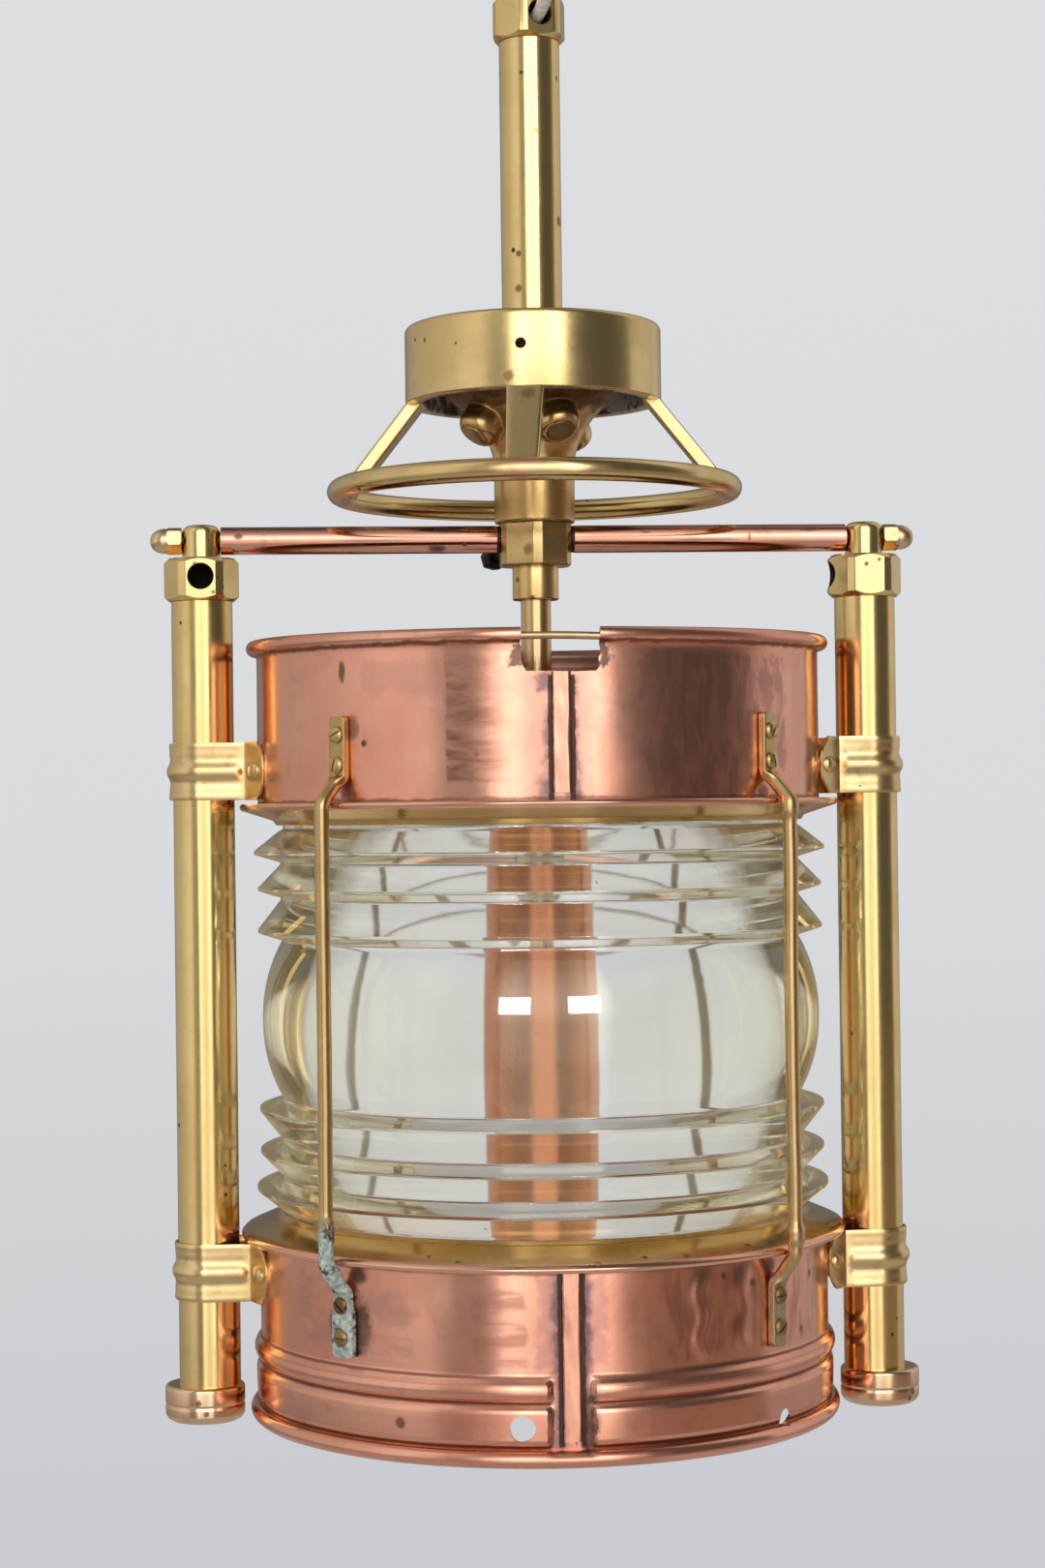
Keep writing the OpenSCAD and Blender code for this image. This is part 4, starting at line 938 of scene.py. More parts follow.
parts = []
R0, R1 = 46.6 - 3.2, 71.5 - 3.0
H = Z_CUPB - Z_RING
LEAN = atan2(R1 - R0, H)
LEN = sqrt(H * H + (R1 - R0) ** 2)
for i in range(4):
    path, us, ws = [], [], []
    for k in range(26):
        s = -0.06 + 1.06 * k / 25
        rr = R0 + (R1 - R0) * s
        path.append((0, -rr, Z_CUPB - H * s))
        us.append((1, 0, 0))
        w = 13.5 - 2.4 * max(0.0, s) + 0.12 * noise.noise(Vector((i * 3.0, s * 4, 1.0)))
        th = 5.2
        if s > 0.90:                     # brazing fillet on the ring
            q = (s - 0.90) / 0.10
            w += 1.1 * q * q
            th += 0.9 * q * q
        ws.append((w, th))
    v, f = sweep_data(path, us, lambda j: superellipse(ws[j][0], ws[j][1], 9, 40))
    parts.append((place(v, Matrix.Rotation(radians(WHEEL_TURN + 90 * i), 4, "Z")), f))
v, f = join_data(parts)
m_spoke = brass("brass_spokes", base=BRASS_CAST, rough=0.18, stain=0.35, spots=[
    (cyl(-9.0, 50, -161.4), 0.0024, 0.8), (cyl(-6.5, 49, -156.4), 0.0030, 0.7), (cyl(-10.5, 53, -167.0), 0.0022, 0.75)])


def braze(mat, points, radius, tone=(0.78, 0.40, 0.26)):
    """Adds copper-coloured brazing round some points of a brass material."""
    nt = NT(mat.node_tree)
    b = mat.node_tree.nodes["Principled BSDF"]
    co = obj_coord(nt)
    f = union(nt, [spot(nt, co, p, radius, 0.6, 0.6, 0.2 * i) for i, p in enumerate(points)])
    old = b.inputs["Base Color"].links[0].from_socket
    nt.put(b.inputs["Base Color"], nt.mix(f, old, tone))
    r = b.inputs["Roughness"].links[0].from_socket
    nt.put(b.inputs["Roughness"], nt.math("ADD", r, nt.math("MULTIPLY", f, 0.14)))


feet = [cyl(WHEEL_TURN + 90 * i, 69.0, Z_RING - 0.5) for i in range(4)]
braze(m_spoke, feet, 0.0052)
o = finish_mesh("wheel_spokes_shown", v, f, m_spoke, "brass_cast", "hanger", 40)
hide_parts("wheel_spokes")

braze(m_wheel, [cyl(WHEEL_TURN + 90 * i, 69.5, Z_RING + 1.0) for i in range(4)], 0.0085)
ringp = [(71.5 + 4 * cos(2 * pi * k / 40), Z_RING + 4 * sin(2 * pi * k / 40)) for k in range(40)]
o = lathe("wheel_ring_shown", ringp, m_wheel, "brass_cast", "hanger", 288, wob=dents(8.1, 0.12, 40))
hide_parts("wheel_ring")

# hub casting with its lugs
ZH = Z_HUB
hubp = rounded([(5, ZH), (14.65, ZH, 0.4), (14.65, ZH + 20.8, 14), (15.1, ZH + 24.8, 12), (16.4, ZH + 29.3, 12), (18.6, ZH + 33.7, 12),
                (21.6, ZH + 38.2, 12), (24.2, ZH + 41, 8), (28, ZH + 43.6, 6), (31.5, ZH + 46.4, 4), (33, ZH + 51, 5), (34, ZH + 57, 6),
                (34, Z_CUP - 4), (5, Z_CUP - 4)])
v, f = lathe_data(hubp, 160)
o = finish_mesh("hub_casting_shown", v, f, m_hub, "brass", "hanger", 60)
tools, plugs, holes = [], [], []
for az in (-62, 18, 138):
    M = Matrix.Rotation(radians(az), 4, "Z") @ Matrix.Translation((0, -16, Z_CUPB - 1)) @ Matrix.Rotation(radians(-38), 4, "X")
    prof = [(0, -15.6), (4.8, -15.6), (6.4, -14.7), (7.4, -13.4), (7.9, -11.6), (8.0, -9.5), (8.0, 4.4), (0, 4.4)]
    v, f = lathe_data(prof, 64, closed=False)
    tools.append(tool(place(v, M), f))
    v, f = prism_data(circle_poly(5.0, 48), -17, -11)
    holes.append((place(v, M), f))
    pv, pf = lathe_data(rounded([(0, -15.9), (3.4, -15.8, 3), (4.95, -15.3, 0.6), (4.95, -11), (0, -11)], closed=False), 48, closed=False)
    plugs.append((place(pv, M), pf))
boolean(o, tools, "UNION", 60)
boolean(o, [tool(*join_data(holes))], "DIFFERENCE", 60)
md = o.modifiers.new("r", "REMESH")
md.mode = "VOXEL"
md.voxel_size = 0.0005
bpy.context.view_layer.update()
me = bpy.data.meshes.new_from_object(o.evaluated_get(bpy.context.evaluated_depsgraph_get()))
o.modifiers.clear()
o.data = me
bm = bmesh.new()
bm.from_mesh(me)
for _ in range(5):
    bmesh.ops.smooth_vert(bm, verts=bm.verts, factor=0.5, use_axis_x=True, use_axis_y=True, use_axis_z=True)
bm.to_mesh(me)
bm.free()
me.materials.clear()
me.materials.append(m_hub)
smooth(me, 80)
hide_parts("hub_casting")
v, f = join_data(plugs)
o = finish_mesh("hub_plugs_shown", v, f, m_plug, "brass", "hanger", 40)
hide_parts("hub_plugs")

# centre hexagon, ferrule, bolt
v, f = prism_data([(14.7 * cos(pi / 3 * i + pi / 6), 14.7 * sin(pi / 3 * i + pi / 6)) for i in range(6)], Z_HEXB, Z_HUB - 0.05)
o = finish_mesh("centre_hex_shown", v, f, m_hexc, "brass", "hanger", 30)
v, f = prism_data(hexagon(27.4), Z_HEXB - 1, Z_HUB + 1)
boolean(o, [tool(v, f)], "INTERSECT", 20)
bevel_mesh(o, 0.35, 3, 20)
v, f = prism_data(circle_poly(4.5, 48), Z_HEXB - 3, Z_HUB + 3)
boolean(o, [tool(v, f)], "DIFFERENCE", 30)
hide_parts("centre_hex")
prof = rounded([(5.5, Z_FERR, 0.3), (8.4, Z_FERR, 0.5), (8.4, Z_HEXB, 0.2), (5.5, Z_HEXB)])
o = lathe("ferrule_shown", prof, m_ferr, "brass", "hanger", 128)
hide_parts("ferrule")
v1, f1 = prism_data(circle_poly(2.2, 32), 0, 17.5)
v2, f2 = prism_data([(4.4 * cos(pi / 3 * i + radians(12)), 4.4 * sin(pi / 3 * i + radians(12))) for i in range(6)], 17.5, 22.5)
M = m_at(-150, 7.5, Z_BAR - 4.9)
o = finish_mesh("clamp_bolt_shown", *join_data([(place(v1, M), f1), (place(v2, M), f2)]), m_dark, "dark_steel", "hanger", 30)
bevel_mesh(o, 0.3, 2, 30)
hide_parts("clamp_bolt")


# cross bar
def along_x(v, s, x0):
    """Lathe data drawn along +z, laid along X from x0, mirrored for s = -1."""
    M = Matrix.Translation((s * x0, 0, Z_BAR)) @ Matrix.Rotation(radians(90 * s), 4, "Y")
    return place(v, M)


NECK_GAP = 0.12
for s, side in ((-1, "left"), (1, "right")):
    x0, x1 = 13.93, POST_X - 6.85 - NECK_GAP
    L = x1 - x0
    pts = [(3.1, 0.2), (3.4, 0), (4.8, 0), (5.0, 0.25)] + [(5.0, 0.25 + (L - 0.5) * k / 16) for k in range(1, 16)] + [(5.0, L - 0.25), (4.8, L), (3.4, L), (3.1, L - 0.2)]
    v, f = lathe_data(pts, 96, wob=dents(1.0 * s, 0.05, 18))
    zb0 = Z_BAR * MM
    m = copper("copper_bar_" + side, base=(0.86, 0.42, 0.30), rough=0.13, brown=0.65, spots=(
        [((-0.033, -0.0043, zb0 + 0.0035), 0.0035, 0.75, (1.6, 1, 0.5)), ((-0.066, -0.004, zb0 + 0.0045), 0.0035, 0.6, (1.6, 1, 0.5)),
         ((-0.036, -0.0045, zb0 - 0.0040), 0.0032, 0.85, (1.2, 1, 0.6)), ((-0.026, -0.0047, zb0 - 0.0022), 0.001, 0.9, (1, 1, 1)),
         ((-0.024, -0.0045, zb0 + 0.0038), 0.0012, 0.8, (1, 1, 1)), ((-0.1075, -0.0048, zb0 + 0.0012), 0.0013, 0.9, (1.5, 1, 1)),
         ((-0.060, -0.005, zb0 - 0.0006), 0.0011, 0.55, (14, 1, 0.4))] if s < 0 else
        [((0.078, -0.0048, zb0), 0.0011, 0.7, (0.6, 1, 1.6)), ((0.040, -0.0045, zb0 + 0.002), 0.0012, 0.5, (1.6, 1, 0.5)),
         ((0.062, -0.005, zb0 - 0.0008), 0.0010, 0.55, (14, 1, 0.4)), ((0.100, -0.0045, zb0 + 0.0030), 0.0022, 0.6, (2.0, 1, 0.5))]))
    o = finish_mesh("spacer_tube_" + side + "_shown", along_x(v, s, x0), f, m, "copper", "hanger")
    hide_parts("spacer_tube_" + side)
    give("pivot_rod_" + side, m_dark)
parts = []
for s in (-1, 1):
    pts = rounded([(3.1, 0), (4.9, 0, 0.3), (4.9, 1.2, 0.3), (3.1, 1.2)])
    v, f = lathe_data(pts, 64)
    parts.append((along_x(v, s, 12.73), f))
o = finish_mesh("lock_washers_shown", *join_data(parts), m_dark, "dark_steel", "hanger")
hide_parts("lock_washers")

NUT_X = POST_X + 6.85 + NECK_GAP
parts = []
for s in (-1, 1):
    dome = [(0, 4.9), (4.3, 4.9), (4.48, 5.4), (4.5, 6.2)]
    dome += [(4.5 * cos(radians(t)) ** 0.85, 6.2 + 5.1 * sin(radians(t)) ** 1.05) for t in range(9, 90, 9)] + [(0, 11.3)]
    v, f = lathe_data(dome, 64, closed=False)
    parts.append((along_x(v, s, NUT_X), f))
nuts = finish_mesh("acorn_nuts_shown", *join_data(parts), m_nut, "brass", "hanger", 40)
hexes = []
for s in (-1, 1):
    v, f = prism_data([(5.1 * cos(pi / 3 * i - s * radians(12)), 5.1 * sin(pi / 3 * i - s * radians(12))) for i in range(6)], 0, 5.5)
    hexes.append((along_x(v, s, NUT_X), f))
t = tool(*join_data(hexes))
cone = []
for s in (-1, 1):
    v, f = lathe_data([(0, -1), (4.7, -1), (4.7, 0), (5.2, 0.7), (5.2, 4.5), (4.45, 5.5), (4.45, 6), (0, 6)], 64, closed=False)
    cone.append((along_x(v, s, NUT_X), f))
boolean(t, [tool(*join_data(cone))], "INTERSECT")
boolean(nuts, [t], "UNION", 30)
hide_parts("acorn_nuts")

# drop tube, sleeve, lamp
o = tube("drop_tube_shown", 5.5, 4.0, Z_SLEEVE - 6, Z_HEXB, m_drop, "brass", "hanger", seg=96)
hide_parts("drop_tube")
sl = rounded([(5.5, Z_SLEEVE), (21, Z_SLEEVE, 2.2), (21, Z_SLEEVE - SLEEVE_H, 0.4), (19.8, Z_SLEEVE - SLEEVE_H, 0.4), (19.8, Z_SLEEVE - 1.2, 1.2), (5.5, Z_SLEEVE - 1.2)])
o = lathe("lamp_sleeve_shown", sl, m_sleeve, "copper", "hanger", 160, wob=dents(5.2, 0.05, 20))
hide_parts("lamp_sleeve")
give("sleeve_nut", m_nut, 30)
give("lamp_holder", m_ceramic)
give("holder_shell", m_nut)
give("bulb_cap", m_steel, 60)
zb = Z_SLEEVE - 100
bulb = [(22.5 * sin(radians(t)), zb - 22.5 * cos(radians(t))) for t in range(0, 125, 5)]
bulb += [(16.0, zb + 21.5), (14.2, zb + 29), (13.3, zb + 37), (13.0, zb + 44), (13.0, zb + 58), (0, zb + 58)]
o = lathe("bulb_glass_shown", bulb, m_bulb, "bulb", "hanger", 96, closed=False)
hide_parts("bulb_glass")

# flex: inside the stem it stays as CAD, the tail is a curve
m_flex, nt, b = material("clear_pvc")
co = obj_coord(nt)
b.inputs["Base Color"].default_value = (0.93, 0.92, 0.88, 1)
b.inputs["Roughness"].default_value = 0.22
b.inputs["IOR"].default_value = 1.45
b.inputs["Subsurface Weight"].default_value = 0.0
core = nt.noise(co, 500, 3, 0.6)
nt.put(b.inputs["Base Color"], nt.mix(nt.step(core, 0.35, 0.65), (0.80, 0.77, 0.72), (0.62, 0.58, 0.53)))
b.inputs["Coat Weight"].default_value = 0.8
b.inputs["Coat Roughness"].default_value = 0.12
nt.put(b.inputs["Normal"], nt.bump(nt.noise(co, 220, 2, 0.5), 0.15, 0.0004))
give("inner_flex", m_flex, 60)

TAIL = [(12, -13.1), (15, -11.5), (18, -9), (20.2, -5.6), (21.4, -1.6), (21.8, 4), (21.8, 14), (21.6, 26), (21.4, 38), (21.4, 50), (21.4, 60)]
ta = radians(TOP_TURN)


def tail_point(r, z):
    return (r * sin(ta) * MM, -r * cos(ta) * MM, z * MM)


cu = bpy.data.curves.new("flex_tail_shown", "CURVE")
cu.dimensions = "3D"
sp = cu.splines.new("NURBS")
sp.points.add(len(TAIL) - 1)
for p, (r, z) in zip(sp.points, TAIL):
    p.co = (*tail_point(r, z), 1)
sp.order_u = 3
sp.use_endpoint_u = True
cu.bevel_depth = 0.0025
cu.bevel_resolution = 6
cu.resolution_u = 8
cu.use_fill_caps = True
cu.materials.append(m_flex)
flex = bpy.data.objects.new("flex_tail_shown", cu)
scene.collection.objects.link(flex)
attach(flex, "hanger")
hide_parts("flex_tail")
give("terminal_block", m_nylon, 35)
give("terminal_screws", m_steel, 30)

# ------------------------------------------------------------------ lantern: posts
for s, side, mat in ((-1, "left", m_postL), (1, "right", m_postR)):
    o = tube("post_tube_" + side + "_shown", 11.0, 9.5, Z_POSB - 9, Z_POST, mat, "brass", "lantern", cx=s * POST_X,
             wob=dents(2.0 + s, 0.06, 30), rings=60)
    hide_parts("post_tube_" + side)
    z0 = Z_POSB - 11.5
    capp = rounded([(0, z0), (11.6, z0, 0.8), (13.3, z0 + 0.9, 1.2), (14.2, z0 + 2.4, 1.5), (14.3, z0 + 5.2, 0.8), (14.02, z0 + 6.2, 0.5), (14.3, z0 + 7.0, 0.6),
                    (14.3, z0 + 13, 1.5), (0, z0 + 13)], closed=False, n=7)
    o = lathe("post_cap_" + side + "_shown", capp, m_cap, "bronze_cap", "lantern", 128, cx=s * (POST_X + 1.9), closed=False, wob=dents(4.0 + s, 0.10, 11))
    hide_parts("post_cap_" + side)


# ------------------------------------------------------------------ saddle clips
def ear_frame(s, r):
    """Plan of an ear for the right-hand side: bend point, end point, direction outwards along it, normal towards the drum."""
    xj = POST_X - (12.4 if s > 0 else 15.2)
    wa = radians(11.2 if s > 0 else 14.1)
    e0 = Vector((xj, -12.2))
    e1 = Vector(((r + 0.9) * cos(wa), -(r + 0.9) * sin(wa)))
    d = (e1 - e0).normalized()
    return e0, e1, d, Vector((d.y, -d.x))


def clip_mesh(name, node, s, r, zc, seed):
    """Band round the post with a swaged bead, two legs and two rounded ears bent to the drum."""
    e0, e1, d, nin = ear_frame(s, r)
    L = (e1 - e0).length
    end = e1 + nin * 0.6
    t = (0.6 - 0.6 * nin.y) / d.y
    corner = e0 + nin * 0.6 + d * t
    path = []
    for k in range(9):
        path.append(end - d * (5.4 * (k / 8) ** 2))
    body = rounded([tuple(end - d * 5.4), (corner.x, corner.y, 1.5), (POST_X, -11.6)], closed=False, n=7)
    bend_pts = [Vector(p) for p in body[1:-1]]
    n_line = 5
    a, b = Vector(body[0]), bend_pts[0]
    path += [a.lerp(b, k / n_line) for k in range(1, n_line)]
    path += bend_pts
    a, b = bend_pts[-1], Vector((POST_X, -11.6))
    n_leg = 12
    path += [a.lerp(b, k / n_leg) for k in range(1, n_leg + 1)]
    first = len(path)
    for k in range(1, 28):
        a = -pi / 2 + pi * k / 28
        path.append(Vector((POST_X + 11.6 * cos(a), 11.6 * sin(a))))
    path += [Vector((p.x, -p.y)) for p in reversed(path[:first])]
    P = [Vector((p.x, p.y, 0)) for p in path]
    m = len(P)
    ds = [0.0]
    for i in range(1, m):
        ds.append(ds[-1] + (P[i] - P[i - 1]).length)
    total = ds[-1]
    NV = 25
    verts = []
    for side_t in (0.6, -0.6):
        for i in range(m):
            t = (P[min(m - 1, i + 1)] - P[max(0, i - 1)]).normalized()
            nrm = Vector((t.y, -t.x, 0))
            e = min(ds[i], total - ds[i])
            x, y = P[i].x, P[i].y
            half = 10.25 + 0.12 * noise.noise(Vector((x * 0.1 + seed, y * 0.1, 2.0)))
            if e < 5.3:
                half = min(half, max(0.35, sqrt(max(0.0, 12.7 ** 2 - (12.7 - e) ** 2))))
            g = min(1.0, max(0.0, (e - L - 1.2) / 2.6))
            lump = g * g * (3 - 2 * g)
            for j in range(NV):
                q = -1 + 2 * j / (NV - 1)
                zz = half * q
                # raised bead in the middle with a groove at each side, and a slight roll at the edges
                b = 1.10 * math.exp(-(abs(zz) / 2.25) ** 3.2) - 0.22 * math.exp(-((abs(zz) - 4.4) / 1.1) ** 2) + 0.22 * math.exp(-((abs(zz) - 9.4) / 0.9) ** 2)
                wv = 0.22 * noise.noise(Vector((x * 0.07 + seed, y * 0.09, zz * 0.10)))
                edge = 0.18 * max(0.0, (abs(q) - 0.86) / 0.14) ** 2 * (1 if side_t > 0 else -1)
                p = P[i] + nrm * (side_t + (b + wv) * lump - edge)
                verts.append((p.x * s, p.y, zc + zz))
    faces = []

    def idx(layer, i, j):
        return layer * m * NV + i * NV + j
    for i in range(m - 1):
        for j in range(NV - 1):
            faces.append((idx(0, i, j), idx(0, i + 1, j), idx(0, i + 1, j + 1), idx(0, i, j + 1)))
            faces.append((idx(1, i, j), idx(1, i, j + 1), idx(1, i + 1, j + 1), idx(1, i + 1, j)))
        for j in (0, NV - 1):
            faces.append((idx(0, i, j), idx(1, i, j), idx(1, i + 1, j), idx(0, i + 1, j)))
    for i in (0, m - 1):
        for j in range(NV - 1):
            faces.append((idx(0, i, j), idx(0, i, j + 1), idx(1, i, j + 1), idx(1, i, j)))
    o = finish_mesh(name, verts, faces, m_clip, "brass", "lantern", 40)
    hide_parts(node)
    return o


clip_mesh("clip_upper_left_shown", "clip_upper_left", -1, DRUM_R, CLIP_UP, 1.0)
clip_mesh("clip_upper_right_shown", "clip_upper_right", 1, DRUM_R, CLIP_UP, 5.0)
clip_mesh("clip_lower_left_shown", "clip_lower_left", -1, BASE_R, CLIP_LOW, 9.0)
clip_mesh("clip_lower_right_shown", "clip_lower_right", 1, BASE_R, CLIP_LOW, 13.0)
parts = []
for r, zc in ((DRUM_R, CLIP_UP), (BASE_R, CLIP_LOW)):
    for s in (-1, 1):
        e0, e1, d, nin = ear_frame(s, r)
        c = e0 + d * (0.55 * (e1 - e0).length)
        inn = 8.4 if s > 0 else 4.7
        M = Matrix.Translation((c.x, c.y, zc)) @ Matrix.Rotation(atan2(-d.y, -d.x), 4, "Z") @ Matrix.Rotation(radians(90), 4, "X")
        head = rounded([(0, -inn - 1), (2.3, -inn - 1, 0.3), (2.3, -inn, 0.2), (1.6, -inn), (1.6, -0.2), (3.0, -0.2, 0.2), (3.0, 0.35, 0.4), (2.1, 1.35, 1.2), (0, 1.75)], closed=False)
        v, f = lathe_data(head, 40, closed=False)
        for my in (1, -1):
            parts.append(([(s * p[0], my * p[1], p[2]) for p in place(v, M)], f))
o = finish_mesh("clip_rivets_shown", *join_data(parts), m_rivet, "brass", "lantern")
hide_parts("clip_rivets")

# ------------------------------------------------------------------ drums
D1, D2 = DRUM_R, DRUM_R - 1.1
zt = Z_LENS + 132.2
zf = Z_LENS + 77.6
up_prof = [(D1, zf + (51.2) * k / 22) for k in range(23)]
up_prof += [(D1 + 0.2, zt - 2.7)]
up_prof += [(D1 + 1.2 + 2.5 * cos(t), zt + 2.5 * sin(t)) for t in [radians(a) for a in range(-96, 210, 12)]]
up_prof += [(D2, zt - 3)]
up_prof += [(D2, zf + 51.2 * (1 - k / 8)) for k in range(1, 9)]
dn = dents(11.0, 0.22, 34)
dn2 = dents(17.0, 0.07, 12)


def drum_wave(ca, sa, r, z):
    k = min(1.0, max(0.0, (z - zf) / 8)) * min(1.0, max(0.0, (zt - 2 - z) / 8))
    a, _ = dn(ca, sa, 101, z)
    b, _ = dn2(ca, sa, 101, z)
    up = max(0.0, (z - zf - 8) / (zt - zf - 8))
    return (a + b) * (0.35 + 0.65 * k), 1.35 * (1 + sa) * up * up


upper = lathe("upper_drum_shown", up_prof, m_upper, "copper", "lantern", 480, wob=drum_wave)
zn = Z_LENS + 120.0
nv = [(-13.1, zt + 6), (-13.5, zn + 9.4), (-12.7, zn + 7.4), (-13.2, zn + 5.0), (-12.6, zn + 2.0), (-11.4, zn + 0.2), (-4, zn + 0.1), (5, zn - 0.1),
      (11.8, zn + 0.1), (13.0, zn + 1.6), (12.6, zn + 4.2), (13.4, zn + 6.6), (12.9, zn + 9.2), (13.3, zt + 6)]
n = len(nv)
v = [(x, -DRUM_R - 12, z) for x, z in nv] + [(x, -DRUM_R + 12, z) for x, z in nv]
f = [tuple(range(n)), tuple(range(2 * n - 1, n - 1, -1))] + [(i, (i + 1) % n, n + (i + 1) % n, n + i) for i in range(n)]
boolean(upper, [tool(v, f)], "DIFFERENCE", 40)
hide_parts("upper_drum")

pts, us = [], []
for k in range(25):
    q = k / 24
    pts.append((-18.25 + 36.5 * q, -DRUM_R - 0.6 + 0.25 * sin(q * 9), zt - 0.4 + 0.3 * sin(q * pi) - 0.5 * q))
    us.append((0, 0, 1))
v, f = sweep_data(pts, us, lambda i: superellipse(2.6, 2.6, 2, 20))
o = finish_mesh("hinge_wire_shown", v, f, m_wire, "brass", "lantern", 50)
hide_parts("hinge_wire")

B1, B2 = BASE_R, BASE_R - 1.1
LOW_WALL = [(0, -77.5), (0, -111.4), (0.25, -112.5), (0.9, -113.4), (1.8, -114.5), (2.3, -115.8), (2.4, -116.8), (2.3, -117.8), (1.8, -119.1), (0.9, -120.2),
            (0.35, -120.9), (0.35, -121.4), (0.9, -122.1), (1.55, -122.9), (1.8, -124.0), (1.8, -126), (1.7, -130), (1.6, -133), (1.2, -134.4), (0.55, -135.4), (0.4, -136.2), (0.4, -138)]


def wall_out(z):
    d = z - Z_LENS
    for (a, za), (b, zb) in zip(LOW_WALL, LOW_WALL[1:]):
        if zb <= d <= za:
            return a + (b - a) * (za - d) / (za - zb)
    return LOW_WALL[-1][0] if d < -100 else 0.0


zs = [Z_LENS - 77.5 - 33 * k / 20 for k in range(20)] + [Z_LENS - 110.5 - 25.7 * k / 92 for k in range(93)]
zrim = Z_LENS - 139.0
lo_prof = [(B1 + wall_out(z), z) for z in zs]
lo_prof += [(B1 + 1.1 + 2.9 * cos(t), zrim + 2.9 * sin(t)) for t in [radians(a) for a in range(102, -190, -12)]]
lo_prof += [(B2 + wall_out(z), z) for z in reversed(zs[::3])]


def base_wave(ca, sa, r, z):
    k = min(1.0, max(0.0, (Z_LENS - 77.5 - z) / 8))
    a, _ = dn(ca, sa, 131, z)
    b, _ = dn2(ca, sa, 131, z)
    x = abs(r * ca - 0.7 + 0.5 * noise.noise(Vector((z * 0.15, 4.0, 1.0))))
    out = 0.0
    if sa < 0 and z > zrim + 1.0 and x < 8.4:
        q = min(1.0, max(0.0, (x - 6.3) / 2.0))
        out = -wall_out(z) * (1 - q * q * (3 - 2 * q))
    # two upright creases right of the joint, on the plain part of the wall
    w = min(1.0, max(0.0, (-455.0 - z) / 5)) * min(1.0, max(0.0, (z + 486.0) / 5))
    if sa < 0 and w > 0:
        az = atan2(ca, -sa) * 180 / pi + 0.6 * sin(0.43 * z)
        out += w * (0.8 * math.exp(-((az - 25.8) / 1.3) ** 2) + 0.7 * math.exp(-((az - 36.0) / 1.9) ** 2))
    return (a + b) * (0.25 + 0.75 * k) + out, 0.0


lower = lathe("lower_drum_shown", lo_prof, m_lower, "copper", "lantern", 600, wob=base_wave)
cuts = []
for az, rr, dz, kx in ((-8.7, 4.25, -128.9, 1.0), (47.6, 2.9, -133.9, 1.12)):
    cv, cf = prism_data([(kx * x * (1 + 0.03 * sin(5 * a)), y * (1 + 0.04 * cos(3 * a))) for a, (x, y) in zip(np.linspace(0, 2 * pi, 40, False), circle_poly(rr, 40))], -10, 12)
    cuts.append(tool(place(cv, m_at(az, BASE_R, Z_LENS + dz)), cf))
boolean(lower, cuts, "DIFFERENCE", 40)
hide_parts("lower_drum")


def seam(name, node, r, z0, z1, mat, az0=0.0, wid=6.4):
    """Lap strip down the joint in the sheet, with soft edges and a little waviness."""
    NU, NV = 17, 70
    verts = []
    for layer in (0, 1):
        for j in range(NV + 1):
            z = z0 + (z1 - z0) * j / NV
            for i in range(NU):
                q = -1 + 2 * i / (NU - 1)
                w = wid / 2 + 0.14 * noise.noise(Vector((3.0, z * 0.12, q)))
                a = q * w / r + radians(az0)
                e = 0.90 * (1 - abs(q) ** 9 * 0.7) + 0.16 * noise.noise(Vector((q * 1.3, z * 0.09, 7.0)))
                rr = r + (e if layer == 0 else -0.3)
                verts.append((rr * sin(a), -rr * cos(a), z))

    def idx(l, j, i):
        return l * (NV + 1) * NU + j * NU + i
    faces = []
    for j in range(NV):
        for i in range(NU - 1):
            faces.append((idx(0, j, i), idx(0, j, i + 1), idx(0, j + 1, i + 1), idx(0, j + 1, i)))
            faces.append((idx(1, j, i), idx(1, j + 1, i), idx(1, j + 1, i + 1), idx(1, j, i + 1)))
        for i in (0, NU - 1):
            faces.append((idx(0, j, i), idx(0, j + 1, i), idx(1, j + 1, i), idx(1, j, i)))
    for j in (0, NV):
        for i in range(NU - 1):
            faces.append((idx(0, j, i), idx(1, j, i), idx(1, j, i + 1), idx(0, j, i + 1)))
    o = finish_mesh(name, verts, faces, mat, "copper", "lantern", 50)
    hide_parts(node)
    return o


seam("upper_seam_strip_shown", "upper_seam_strip", DRUM_R, Z_LENS + 80.0, zn - 0.1, m_strip_up)
seam("lower_seam_strip_shown", "lower_seam_strip", BASE_R, Z_LENS - 133.4, Z_LENS - 77.7, m_strip_low, 0.4)

